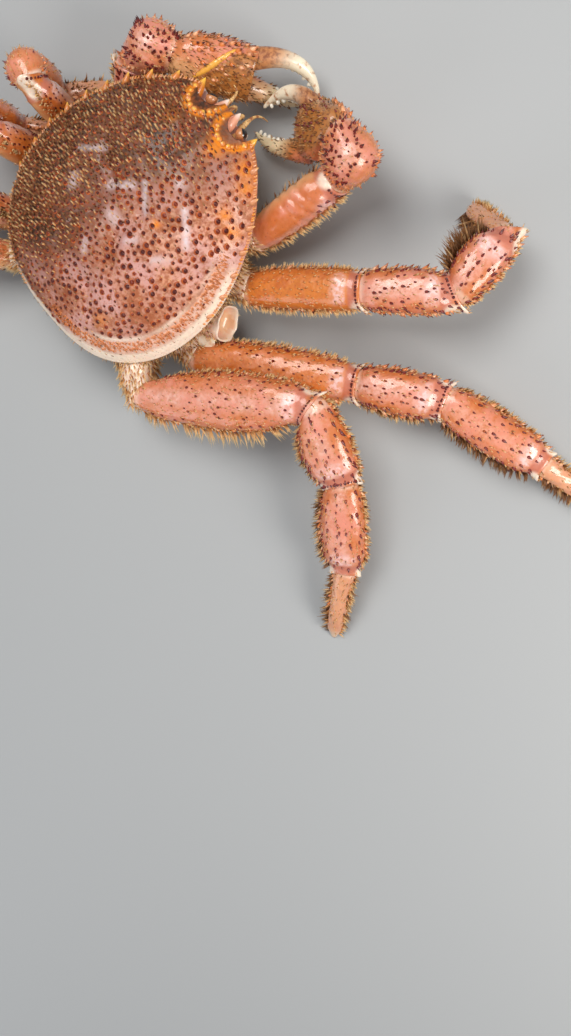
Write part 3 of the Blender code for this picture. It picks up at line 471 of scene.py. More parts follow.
# Orange patches of the near side: side, forward, radius, strength
ORANGE_PATCHES = (
    (0.0085, 0.0375, 0.0032, 1.0), (0.0190, 0.0405, 0.0030, 0.9), (0.0235, 0.0365, 0.0028, 0.8),
    (0.0307, 0.0239, 0.0024, 1.0), (0.0127, 0.0071, 0.0013, 1.0), (0.0258, 0.0262, 0.0022, 0.9),
    (0.0080, 0.0180, 0.0026, 0.45), (0.0200, -0.0320, 0.0030, 0.5), (-0.0087, 0.0336, 0.0028, 0.5),
)

plate_spots = vertices_of(carapace)
plate_side, plate_forward = -plate_spots[:, 0], -plate_spots[:, 1]
plate_angle = np.arctan2(plate_side, plate_forward)
plate_out = np.hypot(plate_side, plate_forward) / rim_reach(plate_angle)
plate_high = plate_point(plate_side, plate_forward)[:, 2]
plate_under = ease(plate_high - plate_spots[:, 2], 0.0004, 0.0022)
pale_share = np.zeros(len(plate_spots))
for start, end, half_width, strength in PALE_MARKS:
    away = from_line(plate_side, plate_forward, start, end)
    pale_share = np.maximum(pale_share, 0.85 * strength * np.exp(-((away / half_width / 1.35) ** 2)))
orange_share = np.zeros(len(plate_spots))
for spot_side, spot_forward, radius, strength in ORANGE_PATCHES:
    away = np.hypot(plate_side - spot_side, plate_forward - spot_forward)
    orange_share = np.maximum(orange_share, strength * np.exp(-((away / radius) ** 2)))
turn = np.degrees(np.abs(plate_angle))
near_share = ease(plate_side, 0.004, 0.020) * ease(turn, 62, 78)
near_band = near_share * ease(plate_out, 0.936, 0.952)
rear_band = ease(plate_out, 0.955, 0.985) * ease(turn, 60, 90) * ease(plate_side, -0.032, -0.008)
rear_band = np.maximum(rear_band, near_band)
ridge = near_share * np.exp(-(((plate_out - 0.845) / 0.016) ** 2))
ridge = ridge * ease(ripple(plate_spots, 0.02, 31), -0.6, 0.4)
fringe_band = near_share * ease(plate_out, 0.855, 0.875) * (1 - near_band)
orbit_across = (np.abs(plate_side) - ORBIT_SIDE) / ORBIT_RADII[0]
around = np.hypot(orbit_across, (plate_forward - ORBIT_FORWARD) / ORBIT_RADII[1])
orbit_edge = 1.5 * np.exp(-(((around - 1.14) / 0.18) ** 2)) * (plate_high - plate_spots[:, 2] < 0.0008)
orange_share = np.maximum(orange_share, orbit_edge)
orbit_wall = ease(plate_high - plate_spots[:, 2], 0.0004, 0.0012) * (around < 1.2)
orange_share = orange_share * (1 - orbit_wall)
plate_coat = coat_share(plate_side, plate_forward) + ripple(plate_spots, 0.02, 8) * 0.12
cream = np.maximum.reduce((rear_band, plate_under * (1 - orbit_wall), ridge * 0.8))
set_attributes(
    carapace,
    coat=plate_coat * (1 - orbit_wall),
    pale=np.maximum(pale_share, orbit_wall),
    orange=orange_share,
    wall=orbit_wall,
    rust=fringe_band,
    rear=ease(plate_forward, 0.004, -0.026) * (1 - near_band),
    cream=cream,
)

LILAC = tone(214, 158, 148)
PALE_PINK = tone(224, 158, 122)
DUSKY = tone(158, 78, 34)
TAN = tone(106, 52, 20)
OLIVE = tone(54, 30, 12)
SCAR = tone(232, 214, 216)
ORANGE = tone(232, 132, 14)
RIM_PINK = tone(248, 206, 184)
CREAM = tone(255, 234, 212)

shell_finish = Finish("damp shell", {
    "Specular IOR Level": 0.35, "Coat Weight": 0.4, "Coat Roughness": 0.18,
    "Subsurface Weight": 0.06, "Subsurface Scale": 0.002,
})
broad = shell_finish.noise(90, 4)
fine = shell_finish.noise(700, 4)
speck = shell_finish.cells(900)
coat = shell_finish.attribute("coat")
near_tone = shell_finish.layers(
    LILAC,
    (PALE_PINK, broad.step(0.35, 0.68)),
    (DUSKY, (fine * 0.6 + broad * 0.4).step(0.44, 0.60) * 0.75),
    (DUSKY, shell_finish.attribute("rear") * broad.step(0.3, 0.65) * 0.6),
)
far_tone = shell_finish.layers(
    TAN, (OLIVE, broad.step(0.36, 0.60)), (DUSKY, fine.step(0.42, 0.7) * 0.6)
)
orange = shell_finish.attribute("orange")
rust = shell_finish.attribute("rust")
ground = shell_finish.layers(
    near_tone,
    (far_tone, coat),
    (SCAR, shell_finish.attribute("pale") * (0.45 + fine.step(0.35, 0.6) * 0.55)),
    (ORANGE, orange * (broad.step(0.25, 0.55) + orange.step(1.0, 1.4))),
    (RIM_PINK, rust * 0.8),
    (tone(214, 128, 84), rust * fine.step(0.46, 0.56) * 0.35),
    (CREAM, shell_finish.attribute("cream") * (0.65 + fine * 0.5)),
    (tone(112, 52, 34), speck.step(0.22, 0.10) * 0.5),
    (tone(255, 222, 210), shell_finish.attribute("wall") * (0.7 + fine * 0.4)),
)
relief = fine * 0.6 + speck * 0.7
shell_material = shell_finish.feed(
    Base_Color=ground,
    Roughness=0.42 + fine * 0.25,
    Normal=shell_finish.bump(relief, 0.00026, 0.9),
)


def dress(thing, material, slot_name, node=None):
    """Gives a piece its material and lets it stand for a node of the crab; its slot name is not used."""
    thing.data.materials.clear()
    thing.data.materials.append(material)
    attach(thing, "root")
    if node:
        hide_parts(node)
    return thing


dress(carapace, shell_material, "shell", "carapace")

# Tubercles of the shell
# Every tubercle is a blunt thorn of the shell itself, dark red brown at its tip, in an orange
# ring, and leans forward and out. They stand close under the coat and wide on the near side.
NEAR_SPACING = 0.0022
COAT_SPACING = 0.0017
TUBERCLE_SIZE = 0.00060
PATCH = 0.003


def form(name, sides, profile, apex, bend=0.0):
    """A small tapered shape that is planted many times: rings of (height, radius) and a tip."""
    rows = []
    for height, radius in profile:
        angles = np.linspace(0, 2 * math.pi, sides, endpoint=False)
        across = radius * np.cos(angles) + bend * max(height, 0) ** 2
        rows.append(np.stack((across, radius * np.sin(angles), np.full(sides, height)), axis=-1))
    thing = grid_mesh(name, np.array(rows), (False, False))
    tip = Vector((bend * apex**2, 0, apex))
    shape = bmesh.new()
    shape.from_mesh(thing.data)
    top = shape.verts.new(tip)
    shape.verts.ensure_lookup_table()
    first = (len(profile) - 1) * sides
    for index in range(sides):
        after = shape.verts[first + (index + 1) % sides]
        shape.faces.new((shape.verts[first + index], after, top))
    shape.faces.new([shape.verts[index] for index in range(sides)])
    bmesh.ops.recalc_face_normals(shape, faces=shape.faces)
    for face in shape.faces:
        face.smooth = True
    shape.to_mesh(thing.data)
    shape.free()
    spots = vertices_of(thing)
    widest = max(radius for _, radius in profile)
    set_attribute(thing, "tip", np.clip(spots[:, 2], 0, 1))
    own = spots * (0.4 / widest, 0.4 / widest, 0)
    set_attribute(thing, "own", own, "FLOAT_VECTOR")
    thing.hide_render = True
    thing.hide_viewport = True
    return thing


def planting_tree():
    """Geometry nodes that set a form on each point, turned to its lie, as one real mesh."""
    tree = bpy.data.node_groups.new("planting", "GeometryNodeTree")
    for name, kind in (
        ("Roots", "NodeSocketGeometry"),
        ("Form", "NodeSocketObject"),
        ("Material", "NodeSocketMaterial"),
        ("Patch size", "NodeSocketFloat"),
    ):
        tree.interface.new_socket(name, in_out="INPUT", socket_type=kind)
    tree.interface.new_socket("Planted", in_out="OUTPUT", socket_type="NodeSocketGeometry")

    def node(kind, settings=None, **links):
        made = tree.nodes.new(kind)
        for key, value in (settings or {}).items():
            setattr(made, key, value)
        for key, value in links.items():
            socket = made.inputs[key.replace("_", " ")]
            if isinstance(value, bpy.types.NodeSocket):
                tree.links.new(value, socket)
            else:
                socket.default_value = value
        return made

    def stored(name, kind):
        return node("GeometryNodeInputNamedAttribute", {"data_type": kind}, Name=name).outputs[0]

    given = tree.nodes.new("NodeGroupInput")
    taken = tree.nodes.new("NodeGroupOutput")
    aligned = node(
        "FunctionNodeAlignRotationToVector", {"axis": "Z"}, Vector=stored("lie", "FLOAT_VECTOR")
    )
    spin = node("FunctionNodeAxisAngleToRotation", Axis=(0, 0, 1), Angle=stored("spin", "FLOAT"))
    turned = node(
        "FunctionNodeRotateRotation",
        {"rotation_space": "LOCAL"},
        Rotation=aligned.outputs[0],
        Rotate_By=spin.outputs[0],
    )
    shape = node("GeometryNodeObjectInfo", Object=given.outputs["Form"])
    planted = node(
        "GeometryNodeInstanceOnPoints",
        Points=given.outputs["Roots"],
        Instance=shape.outputs["Geometry"],
        Rotation=turned.outputs[0],
        Scale=stored("size", "FLOAT_VECTOR"),
    )
    real = node("GeometryNodeRealizeInstances", Geometry=planted.outputs[0])
    scaled = tree.nodes.new("ShaderNodeVectorMath")
    scaled.operation = "MULTIPLY_ADD"
    tree.links.new(stored("own", "FLOAT_VECTOR"), scaled.inputs[0])
    tree.links.new(given.outputs["Patch size"], scaled.inputs[1])
    tree.links.new(stored("patch", "FLOAT_VECTOR"), scaled.inputs[2])
    mapped = node(
        "GeometryNodeStoreNamedAttribute",
        {"data_type": "FLOAT2", "domain": "CORNER"},
        Geometry=real.outputs[0],
        Name="OFBake",
        Value=scaled.outputs[0],
    )
    coloured = node(
        "GeometryNodeSetMaterial", Geometry=mapped.outputs[0], Material=given.outputs["Material"]
    )
    tree.links.new(coloured.outputs[0], taken.inputs[0])
    return tree


PLANTING = planting_tree()


class Roots:
    """Places where forms are planted: root, lie, size across and along, shade and unwrap."""

    def __init__(self):
        self.parts = []

    def add(self, spots, lies, thick, long, unwrap, shade=None):
        count = len(spots)
        thick = np.broadcast_to(thick, count)
        long = np.broadcast_to(long, count)
        shade = rng.random(count) if shade is None else np.broadcast_to(shade, count)
        sizes = np.stack((thick, thick, long), axis=-1)
        patch = np.concatenate((unwrap, np.zeros((count, 1))), axis=-1)
        self.parts.append((spots, unit(lies), sizes, patch, shade))

    def plant(self, name, shape, material, slot_name, floor_clear=0.0002):
        """Plants the form at every root and returns the finished piece, riding on the crab."""
        spots, lies, sizes, patches, shades = (np.concatenate(part) for part in zip(*self.parts))
        mesh = bpy.data.meshes.new(name)
        mesh.from_pydata([tuple(spot) for spot in spots], [], [])
        thing = add_object(name, mesh)
        set_attribute(thing, "lie", lies, "FLOAT_VECTOR")
        set_attribute(thing, "size", sizes, "FLOAT_VECTOR")
        set_attribute(thing, "patch", patches, "FLOAT_VECTOR")
        set_attribute(thing, "shade", shades)
        set_attribute(thing, "spin", rng.uniform(0, 2 * math.pi, len(spots)))
        shape.hide_viewport = False
        step = thing.modifiers.new("planting", "NODES")
        step.node_group = PLANTING
        values = {"Form": shape, "Material": material, "Patch size": PATCH}
        for item in PLANTING.interface.items_tree:
            if item.name in values:
                step[item.identifier] = values[item.name]
        bpy.context.view_layer.update()
        apply_modifiers(thing)
        shape.hide_viewport = True
        for used in ("lie", "size", "patch", "spin", "own"):
            thing.data.attributes.remove(thing.data.attributes[used])
        points = vertices_of(thing)
        points[:, 2] = np.maximum(points[:, 2], floor_clear)
        thing.data.vertices.foreach_set("co", points.ravel())
        thing.data.update()
        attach(thing, "root")
        return thing


def scatter(spacing_at, tries, side_reach, forward_reach):
    """Places in plan, none nearer to another than its own spacing, inside the plate's rim."""
    kept = np.empty((tries, 2))
    count = 0
    for candidate in rng.uniform(-1, 1, (tries, 2)) * (side_reach, forward_reach):
        if math.hypot(*candidate) > 0.965 * rim_reach(np.arctan2(*candidate)):
            continue
        gap = spacing_at(*candidate)
        if count and np.min(np.sum((kept[:count] - candidate) ** 2, axis=1)) < gap * gap:
            continue
        kept[count] = candidate
        count += 1
    return kept[:count]


def plate_lie(side, forward, lean):
    """Which way thorns and bristles point on the plate: up off it, out and forward."""
    outward = place(side / HALF_WIDTH * 0.75, 0.45 + 0.25 * forward / HALF_LENGTH, 0)
    return unit(plate_normal(side, forward) + outward * lean)


def plate_unwrap(side, forward):
    return np.stack((0.5 + side / 0.12, 0.5 + forward / 0.12), axis=-1)


def off_orbit(side, forward):
    across = (np.abs(side) - ORBIT_SIDE) / (ORBIT_RADII[0] + 0.0004)
    ahead = (forward - ORBIT_FORWARD) / (ORBIT_RADII[1] + 0.0004)
    return np.hypot(across, ahead) > 1


def tubercle_gap(side, forward):
    share = coat_share(side, forward)
    return NEAR_SPACING + (COAT_SPACING - NEAR_SPACING) * share


tubercle_finish = Finish("tubercle", {
    "Specular IOR Level": 0.35, "Coat Weight": 0.2, "Coat Roughness": 0.15,
})
tip = tubercle_finish.attribute("tip")
shade = tubercle_finish.attribute("shade")
ring_tone = tubercle_finish.mix(tone(194, 94, 34), tone(150, 64, 32), shade)
thorn_tone = tubercle_finish.mix(tone(126, 42, 12), tone(78, 16, 6), shade.step(0.0, 0.5))
thorn_tone = tubercle_finish.mix(thorn_tone, tone(206, 126, 74), shade.step(1.2, 1.4))
ring_tone = tubercle_finish.mix(ring_tone, tone(230, 160, 118), shade.step(1.2, 1.4))
tubercle_material = tubercle_finish.feed(
    Base_Color=tubercle_finish.mix(ring_tone, thorn_tone, tip.step(0.06, 0.30)),
    Roughness=0.5 - tip * 0.15,
)
tubercle_rings = ((-0.6, 1.9), (0.03, 1.75), (0.14, 1.2), (0.5, 0.85), (0.85, 0.4))
tubercle_form = form("tubercle_form", 9, tubercle_rings, 1.0, 0.12)

tubercles = Roots()
spots = scatter(tubercle_gap, 26000, HALF_WIDTH, HALF_LENGTH * 1.03)
spots = spots[off_orbit(spots[:, 0], spots[:, 1])]
scarred = np.zeros(len(spots), bool)
for start, end, half_width, _ in PALE_MARKS:
    scarred |= from_line(*spots.T, start, end) < half_width * 1.2
spots = spots[~scarred]
thick = TUBERCLE_SIZE * rng.uniform(0.5, 1.3, len(spots)) * (1 - 0.22 * coat_share(*spots.T))
outer = np.hypot(*spots.T) / rim_reach(np.arctan2(*spots.T))
near_rim = ease(spots[:, 0], 0.004, 0.020) * (outer > 0.84) * (spots[:, 1] < 0.018)
on_band = (outer > 0.925) * ease(spots[:, 0], 0.000, 0.010) * (spots[:, 1] < 0.018)
kept = rng.random(len(spots)) > np.maximum(0.75 * near_rim, on_band)
thick = (thick * (1 - 0.45 * near_rim))[kept]
spots = spots[kept]
tubercles.add(
    plate_point(*spots.T),
    plate_lie(*spots.T, 0.55),
    thick,
    thick * rng.uniform(0.75, 1.15, len(spots)),
    plate_unwrap(*spots.T),
)
# Fine, close thorns in the band along the near side's rim
angle = np.radians(rng.uniform(64, 178, 560))
out = rng.uniform(0.862, 0.93, len(angle)) * rim_reach(angle)
band_spots = np.stack((out * np.sin(angle), out * np.cos(angle)), axis=-1)
size = rng.uniform(0.00015, 0.00026, len(angle))
tubercles.add(
    plate_point(*band_spots.T),
    plate_lie(*band_spots.T, 1.6),
    size,
    size * 4.0,
    plate_unwrap(*band_spots.T),
    rng.uniform(1.3, 1.5, len(angle)),
)
tubercles.plant("shell_tubercles", tubercle_form, tubercle_material, "shell")

# Walking legs
# Each leg is a chain of five hard, flattened tubes. A narrow pale neck of the next tube sits in the
# lipped end of the one before and turns on two cream lobes. Behind the lip runs a smooth band.
NECK_SHARE = 0.88
NECK_DEPTH = 0.0024
CAP_DEPTH = 0.0018
LEG_COXA = (0.0048, 0.0052)
LEG_HIP = (0.0060, 0.0052)
LEG_KNEE = (0.0060, 0.0050)
LEG_WRIST = (0.0060, 0.0048)
LEG_ANKLE = (0.0044, 0.0038)
LEG_TOE = (0.0009, 0.0009)
DACTYL_MIDDLE = (0.0034, 0.0030)
LEG_BOWS = (0, 0.0004, 0.0010, 0.0006, 0.0016)
LEG_PARTS = ("coxa", "merus", "carpus", "propodus", "dactyl")
# Joints of each leg from root to tip, half sizes of its middle parts and how its tubes lie
LEGS = {
    "leg_R1": dict(
        joints=(
            (0.0225, 0.0050, 0.0105), (0.0440, 0.0128, 0.0150), (0.0729, 0.0435, 0.0250),
            (0.0938, 0.0659, 0.0250), (0.0900, 0.0895, 0.0220), (0.0725, 0.0868, 0.0),
        ),
        sizes=((0.0070, 0.0062), (0.0076, 0.0064), (0.0078, 0.0060)),
        thin=(0, 0, 1), warm=(0.5, 0.9, 0.15, 0.4, 1.1),
    ),
    "leg_R3": dict(
        joints=(
            (0.0235, -0.0175, 0.0105), (0.0475, -0.0195, 0.0120), (0.0950, 0.0205, 0.0165),
            (0.1190, 0.0395, 0.0160), (0.1575, 0.0510, 0.0110), (0.1812, 0.0558, 0.0),
        ),
        sizes=((0.0082, 0.0064), (0.0080, 0.0062), (0.0078, 0.0056)),
        thin=(0, 0, 1), warm=(0.3, 0.70, 0.35, 0.5, 0.8),
    ),
    "leg_R4": dict(
        joints=(
            (0.0165, -0.0295, 0.0105), (0.0455, -0.0430, 0.0195), (0.0915, 0.0043, 0.0285),
            (0.1178, -0.0058, 0.0215), (0.1434, -0.0280, 0.0125), (0.1611, -0.0525, 0.0),
        ),
        sizes=((0.0104, 0.0062), (0.0092, 0.0062), (0.0084, 0.0056)),
        thin=(0, 0, 1), warm=(0.2, 0.15, 0.12, 0.4, 0.8),
    ),
    "leg_L1": dict(
        joints=(
            (-0.0225, 0.0050, 0.0100), (-0.0415, 0.0005, 0.0090), (-0.0575, 0.0032, 0.0330),
            (-0.0655, 0.0050, 0.0245), (-0.0595, 0.0030, 0.0070), (-0.0495, 0.0185, 0.0),
        ),
        sizes=((0.0064, 0.0058), (0.0070, 0.0070), (0.0060, 0.0054)),
        thin=(0.3, 1, 0), warm=(0.5, 0.8, 0.6, 0.7, 0.8),
        knuckle=(-0.0628, 0.0042, 0.0314), fold=((-0.95, 0.25, 0.15), (0, -0.1, -1)),
    ),
    "leg_L2": dict(
        joints=(
            (-0.0235, -0.0065, 0.0100), (-0.0430, -0.0160, 0.0085), (-0.0598, -0.0205, 0.0330),
            (-0.0683, -0.0195, 0.0245), (-0.0628, -0.0165, 0.0070), (-0.0505, -0.0050, 0.0),
        ),
        sizes=((0.0074, 0.0060), (0.0076, 0.0074), (0.0066, 0.0056)),
        thin=(0, 1, 0), warm=(0.5, 0.75, 0.6, 0.7, 0.8),
        knuckle=(-0.0660, -0.0200, 0.0312), fold=((-0.97, 0.1, 0.15), (0, 0.1, -1)),
    ),
    "leg_L3": dict(
        joints=(
            (-0.0235, -0.0175, 0.0100), (-0.0355, -0.0355, 0.0110), (-0.0570, -0.0535, 0.0320),
            (-0.0770, -0.0600, 0.0260), (-0.1000, -0.0560, 0.0120), (-0.1230, -0.0460, 0.0),
        ),
        sizes=((0.0082, 0.0064), (0.0080, 0.0062), (0.0076, 0.0056)),
        thin=(-0.4, 1, 0), warm=(0.3, 0.5, 0.35, 0.5, 0.8),
    ),
    "leg_L4": dict(
        joints=(
            (-0.0165, -0.0295, 0.0105), (-0.0290, -0.0500, 0.0130), (-0.0600, -0.0800, 0.0300),
            (-0.0800, -0.0900, 0.0230), (-0.1000, -0.0890, 0.0110), (-0.1200, -0.0830, 0.0),
        ),
        sizes=((0.0092, 0.0062), (0.0086, 0.0062), (0.0080, 0.0056)),
        thin=(-0.8, 1, 0), warm=(0.2, 0.25, 0.30, 0.4, 0.8),
    ),
}


class Limb:
    """One tube of a limb between two joints, along a bowed line, read at many places at once."""

    def __init__(self, ends, planes, bow, thin, sizes):
        self.start, self.end = ends
        self.start_plane, self.end_plane = planes
        self.bow = (self.start + self.end) / 2 + np.array((0, 0, bow * 2))
        self.thin = thin
        self.sizes = np.array(sizes, float)
        self.length = np.linalg.norm(self.end - self.start)
        self.axis = (self.end - self.start) / self.length
        self.lobes = 1.0
        self.neck = NECK_SHARE
        self.folds = ()
        self.swell = 0.0

    def line(self, at):
        at = np.asarray(at, float)[..., None]
        first = self.start + (self.bow - self.start) * at
        second = self.bow + (self.end - self.bow) * at
        return first + (second - first) * at, unit(second - first)

    def size(self, at):
        start, middle, end = self.sizes
        shares = np.array((0, 0.2, 0.5, 0.8, 1))
        stops = (start, start * 0.3 + middle * 0.7, middle, middle * 0.85 + end * 0.15, end)
        index = np.clip(np.searchsorted(shares, at) - 1, 0, 3)
        step = np.clip((at - shares[index]) / (shares[index + 1] - shares[index]), 0, 1)
        step = (step + step * step * (3 - 2 * step))[..., None] / 2
        return np.array(stops)[index] * (1 - step) + np.array(stops)[index + 1] * step

    def surface(self, at, degrees, grown=0.0, plain=False):
        """Points of the skin, or of the plain tube under it."""
        at, degrees = np.broadcast_arrays(np.asarray(at, float), np.asarray(degrees, float))
        centre, tangent = self.line(at)
        near_start = np.clip(1 - at / 0.5, 0, 1)[..., None]
        near_end = np.clip(1 - (1 - at) / 0.5, 0, 1)[..., None]
        normal = unit(tangent + (self.start_plane - tangent) * near_start)
        normal = unit(normal + (self.end_plane - normal) * near_end)
        thin = unit(self.thin - normal * np.sum(self.thin * normal, axis=-1, keepdims=True))
        wide = unit(np.cross(thin, normal))
        turn = np.radians(degrees)
        cosine, sine = np.cos(turn), np.sin(turn)
        round_off = (np.abs(cosine) ** 2.5 + np.abs(sine) ** 2.5) ** 0.4
        share, rise, lobe = (1.0, 0.0, 0.0) if plain else self.relief(at, degrees)
        half = self.size(at) * np.asarray(share)[..., None] + (grown + np.asarray(rise))[..., None]
        across = wide * (half[..., 0] * cosine / round_off)[..., None]
        deep = thin * (half[..., 1] * sine / round_off)[..., None]
        return centre + across + deep + tangent * (0.0020 * np.asarray(lobe))[..., None]

    def relief(self, at, degrees):
        """How the skin departs from the plain tube: neck, band, lip and the two cream lobes."""
        from_start, to_end = at * self.length, (1 - at) * self.length
        share = self.neck + (1 - self.neck) * ease(from_start, 0.0001, 0.0024)
        turn = np.abs((degrees + 180) % 360 - 180)
        sides = 0.8 * np.exp(-((turn / 26) ** 2)) + np.exp(-(((180 - turn) / 34) ** 2))
        lobe = self.lobes * sides * np.exp(-((to_end / 0.0030) ** 2))
        band = ease(to_end, 0.0006, 0.0012) * (1 - ease(to_end, 0.0038, 0.0050))
        lip = np.exp(-(((to_end - 0.0004) / 0.0004) ** 2))
        rise = 0.0017 * lobe - self.lobes * (0.0004 * band - 0.0002 * lip)
        for fold in self.folds:
            away = (at - fold) * self.length - 0.002 * np.sin(np.radians(degrees))
            rise = rise - 0.0005 * np.exp(-(away / 0.0007) ** 2)
        middle = ease(from_start, 0.003, 0.007) * ease(to_end, 0.004, 0.007)
        lump = np.sin(degrees / 9 + at * 19) * np.sin(at * self.length / 0.0021 + degrees / 17)
        return share, rise + (self.swell + 0.00014 * lump) * middle, lobe

    def normals(self, at, degrees):
        ahead = self.surface(np.minimum(at + 0.004, 1), degrees) - self.surface(at - 0.004, degrees)
        round_it = self.surface(at, degrees + 1.5) - self.surface(at, degrees - 1.5)
        return unit(np.cross(round_it, ahead))

    def chart(self, points):
        """How far along the tube points lie, 0 to 1, and their turn round it in degrees."""
        away = points - self.start
        at = np.clip(away @ self.axis / self.length, 0, 1)
        centre, tangent = self.line(at)
        thin = unit(self.thin - tangent * np.sum(self.thin * tangent, axis=-1, keepdims=True))
        wide = np.cross(thin, tangent)
        out = points - centre
        turn = np.degrees(np.arctan2(np.sum(out * thin, -1), np.sum(out * wide, -1)))
        return at, turn % 360


def joint_planes(joints, bows):
    """The direction each joint faces: halfway between the two tubes that meet there."""
    planes = []
    for index in range(len(joints)):
        ways = []
        for first, way in ((index - 1, 1), (index, -1)):
            if 0 <= first < len(joints) - 1:
                middle = (joints[first] + joints[first + 1]) / 2 + (0, 0, bows[first] * 2)
                ways.append(unit((joints[index] - middle) * way))
        planes.append(unit(sum(ways)))
    return planes


def limb_skin(name, limb, warm, pale=0.0, pitch=0.0009, sides=64, pointed=False):
    """A tube's skin with its neck and its hollow end, and what its colours need to know."""
    stations = np.linspace(0, 1, int(limb.length / pitch) + 2)
    turns = np.linspace(0, 360, sides, endpoint=False)
    grid = limb.surface(stations[:, None], turns[None, :])
    rows = []
    for share, depth in ((0.55, 1.0), (0.86, 0.95), (0.97, 0.5)):
        shift = limb.start_plane * depth * NECK_DEPTH
        rows.append(limb.start + (grid[0] - limb.start) * share - shift)
    rows.extend(grid)
    cap = ((0.8, -0.1), (0.5, -0.2)) if pointed else ((0.93, -0.12), (0.84, 0.1), (0.8, 0.7), (0.7, 1))
    for share, depth in cap:
        rows.append(limb.end + (grid[-1] - limb.end) * share - limb.end_plane * depth * CAP_DEPTH)
    thing = grid_mesh(name, np.array(rows))
    at, turn = limb.chart(vertices_of(thing))
    colour_limb(thing, limb, at, turn, warm, pale)
    return thing


def colour_limb(thing, limb, at, turn, warm, pale):
    """Where a tube is pale, banded, rusty or painted with a highlight, as its finish reads it."""
    to_end = (1 - at) * limb.length
    neck = 0.45 * (1 - ease(at * limb.length, 0.0002, 0.0016))
    lobe = limb.relief(at, turn)[2]
    band = ease(to_end, 0.0002, 0.0006) * (1 - ease(to_end, 0.0034, 0.0042))
    # Painted highlight: a pale patch just behind each joint's band, kept to the upper face by the finish
    gloss = ease(to_end, 0.0038, 0.0050) * (1 - ease(to_end, 0.0065, 0.0110))
    set_attributes(
        thing,
        pale=np.maximum.reduce((neck, ease(lobe, 0.08, 0.4), at * 0 + pale)),
        band=band * limb.lobes,
        warm=warm,
        upper=np.sin(np.radians(turn)),
        edge=np.abs(np.cos(np.radians(turn))) ** 1.7,
        gloss=gloss * limb.lobes,
    )


PINK = tone(226, 142, 118)
SALMON = tone(226, 140, 86)
LEG_TAN = tone(214, 122, 42)
RUST = tone(196, 100, 34)
BAND_BROWN = tone(196, 112, 88)
BUFF = tone(242, 196, 140)
# The pale pink of the painted highlights on the limbs
PAINTED_HIGHLIGHT_PINK = tone(250, 216, 214)
limb_finish = Finish("damp limb", {
    "Coat Weight": 0.9, "Coat Roughness": 0.14, "Subsurface Weight": 0.08, "Subsurface Scale": 0.002,
})
broad = limb_finish.noise(120, 3)
fine = limb_finish.noise(650, 4)
speck = limb_finish.cells(620)
warm = limb_finish.attribute("warm") + broad * 0.5 - 0.25
upper = limb_finish.attribute("upper")
inner = limb_finish.attribute("inner")
# Painted highlight: a pale pink sheen along the top face of the pinker tubes, where light falls on them
painted_top_sheen = upper.step(0.75, 1.0) * (1 - warm.step(0.35, 0.75)) * broad.step(0.35, 0.65)
# Painted highlight behind each joint's band on the upper face, broken up by noise
gloss = limb_finish.attribute("gloss") * upper.step(0.45, 0.95)
ground = limb_finish.layers(
    PINK,
    (SALMON, broad.step(0.35, 0.7)),
    (LEG_TAN, warm.step(0.35, 0.85)),
    (PAINTED_HIGHLIGHT_PINK, painted_top_sheen * 0.5),
    (RUST, limb_finish.attribute("edge") * broad.step(0.2, 0.55) * 0.8),
    (RUST, (fine * 0.5 + broad * 0.5).step(0.46, 0.60) * (0.35 + warm * 0.5)),
    (tone(140, 60, 36), speck.step(0.22, 0.08) * 0.45),
    (BUFF, upper.step(-0.1, -0.9) * 0.7),
    (PAINTED_HIGHLIGHT_PINK, gloss * (0.25 + fine.step(0.42, 0.58) * 0.5)),
    (BAND_BROWN, limb_finish.attribute("band") * 0.85),
    (tone(186, 118, 56), inner),
    (tone(112, 60, 24), inner * fine.step(0.5, 0.62) * 0.7),
    (tone(248, 228, 186), limb_finish.attribute("horn") * 0.95),
    (CREAM, limb_finish.attribute("pale") * (0.7 + fine * 0.4)),
)
limb_material = limb_finish.feed(
    Base_Color=ground,
    Roughness=0.26 + fine * 0.3,
    Normal=limb_finish.bump(fine * 0.6 + speck * 0.5 + limb_finish.cells(260) * 0.8, 0.00026, 0.9),
)


def even_out(thing, size, rounds):
    """Melts a rough closed form into an even, rounded skin."""
    step = thing.modifiers.new("even", "REMESH")
    step.mode = "VOXEL"
    step.voxel_size = size
    step.use_smooth_shade = True
    rub = thing.modifiers.new("rub", "SMOOTH")
    rub.iterations = rounds
    return apply_modifiers(thing)


def hull_of(name, points):
    shape = bmesh.new()
    verts = [shape.verts.new(point) for point in points]
    hull = bmesh.ops.convex_hull(shape, input=verts)
    unused = [item for item in hull["geom_interior"] if isinstance(item, bmesh.types.BMVert)]
    bmesh.ops.delete(shape, geom=unused, context="VERTS")
    return add_object(name, mesh_from(name, shape))


def even_ball(count):
    """Directions spread evenly over a ball."""
    index = np.arange(count)
    height = 1 - 2 * (index + 0.5) / count
    turn = index * math.pi * (3 - math.sqrt(5))
    reach = np.sqrt(1 - height**2)
    return np.stack((reach * np.cos(turn), reach * np.sin(turn), height), axis=-1)


def cut_away(thing, limb, grown=0.0004):
    """Cuts a skin clear of the plain tube of a neighbour."""
    rows = limb.surface(np.linspace(0, 1, 24)[:, None], np.linspace(0, 345, 24), grown, plain=True)
    cutter = grid_mesh("clearance", rows)
    cut = thing.modifiers.new("clear", "BOOLEAN")
    cut.operation = "DIFFERENCE"
    cut.object = cutter
    apply_modifiers(thing)
    bpy.data.objects.remove(cutter)


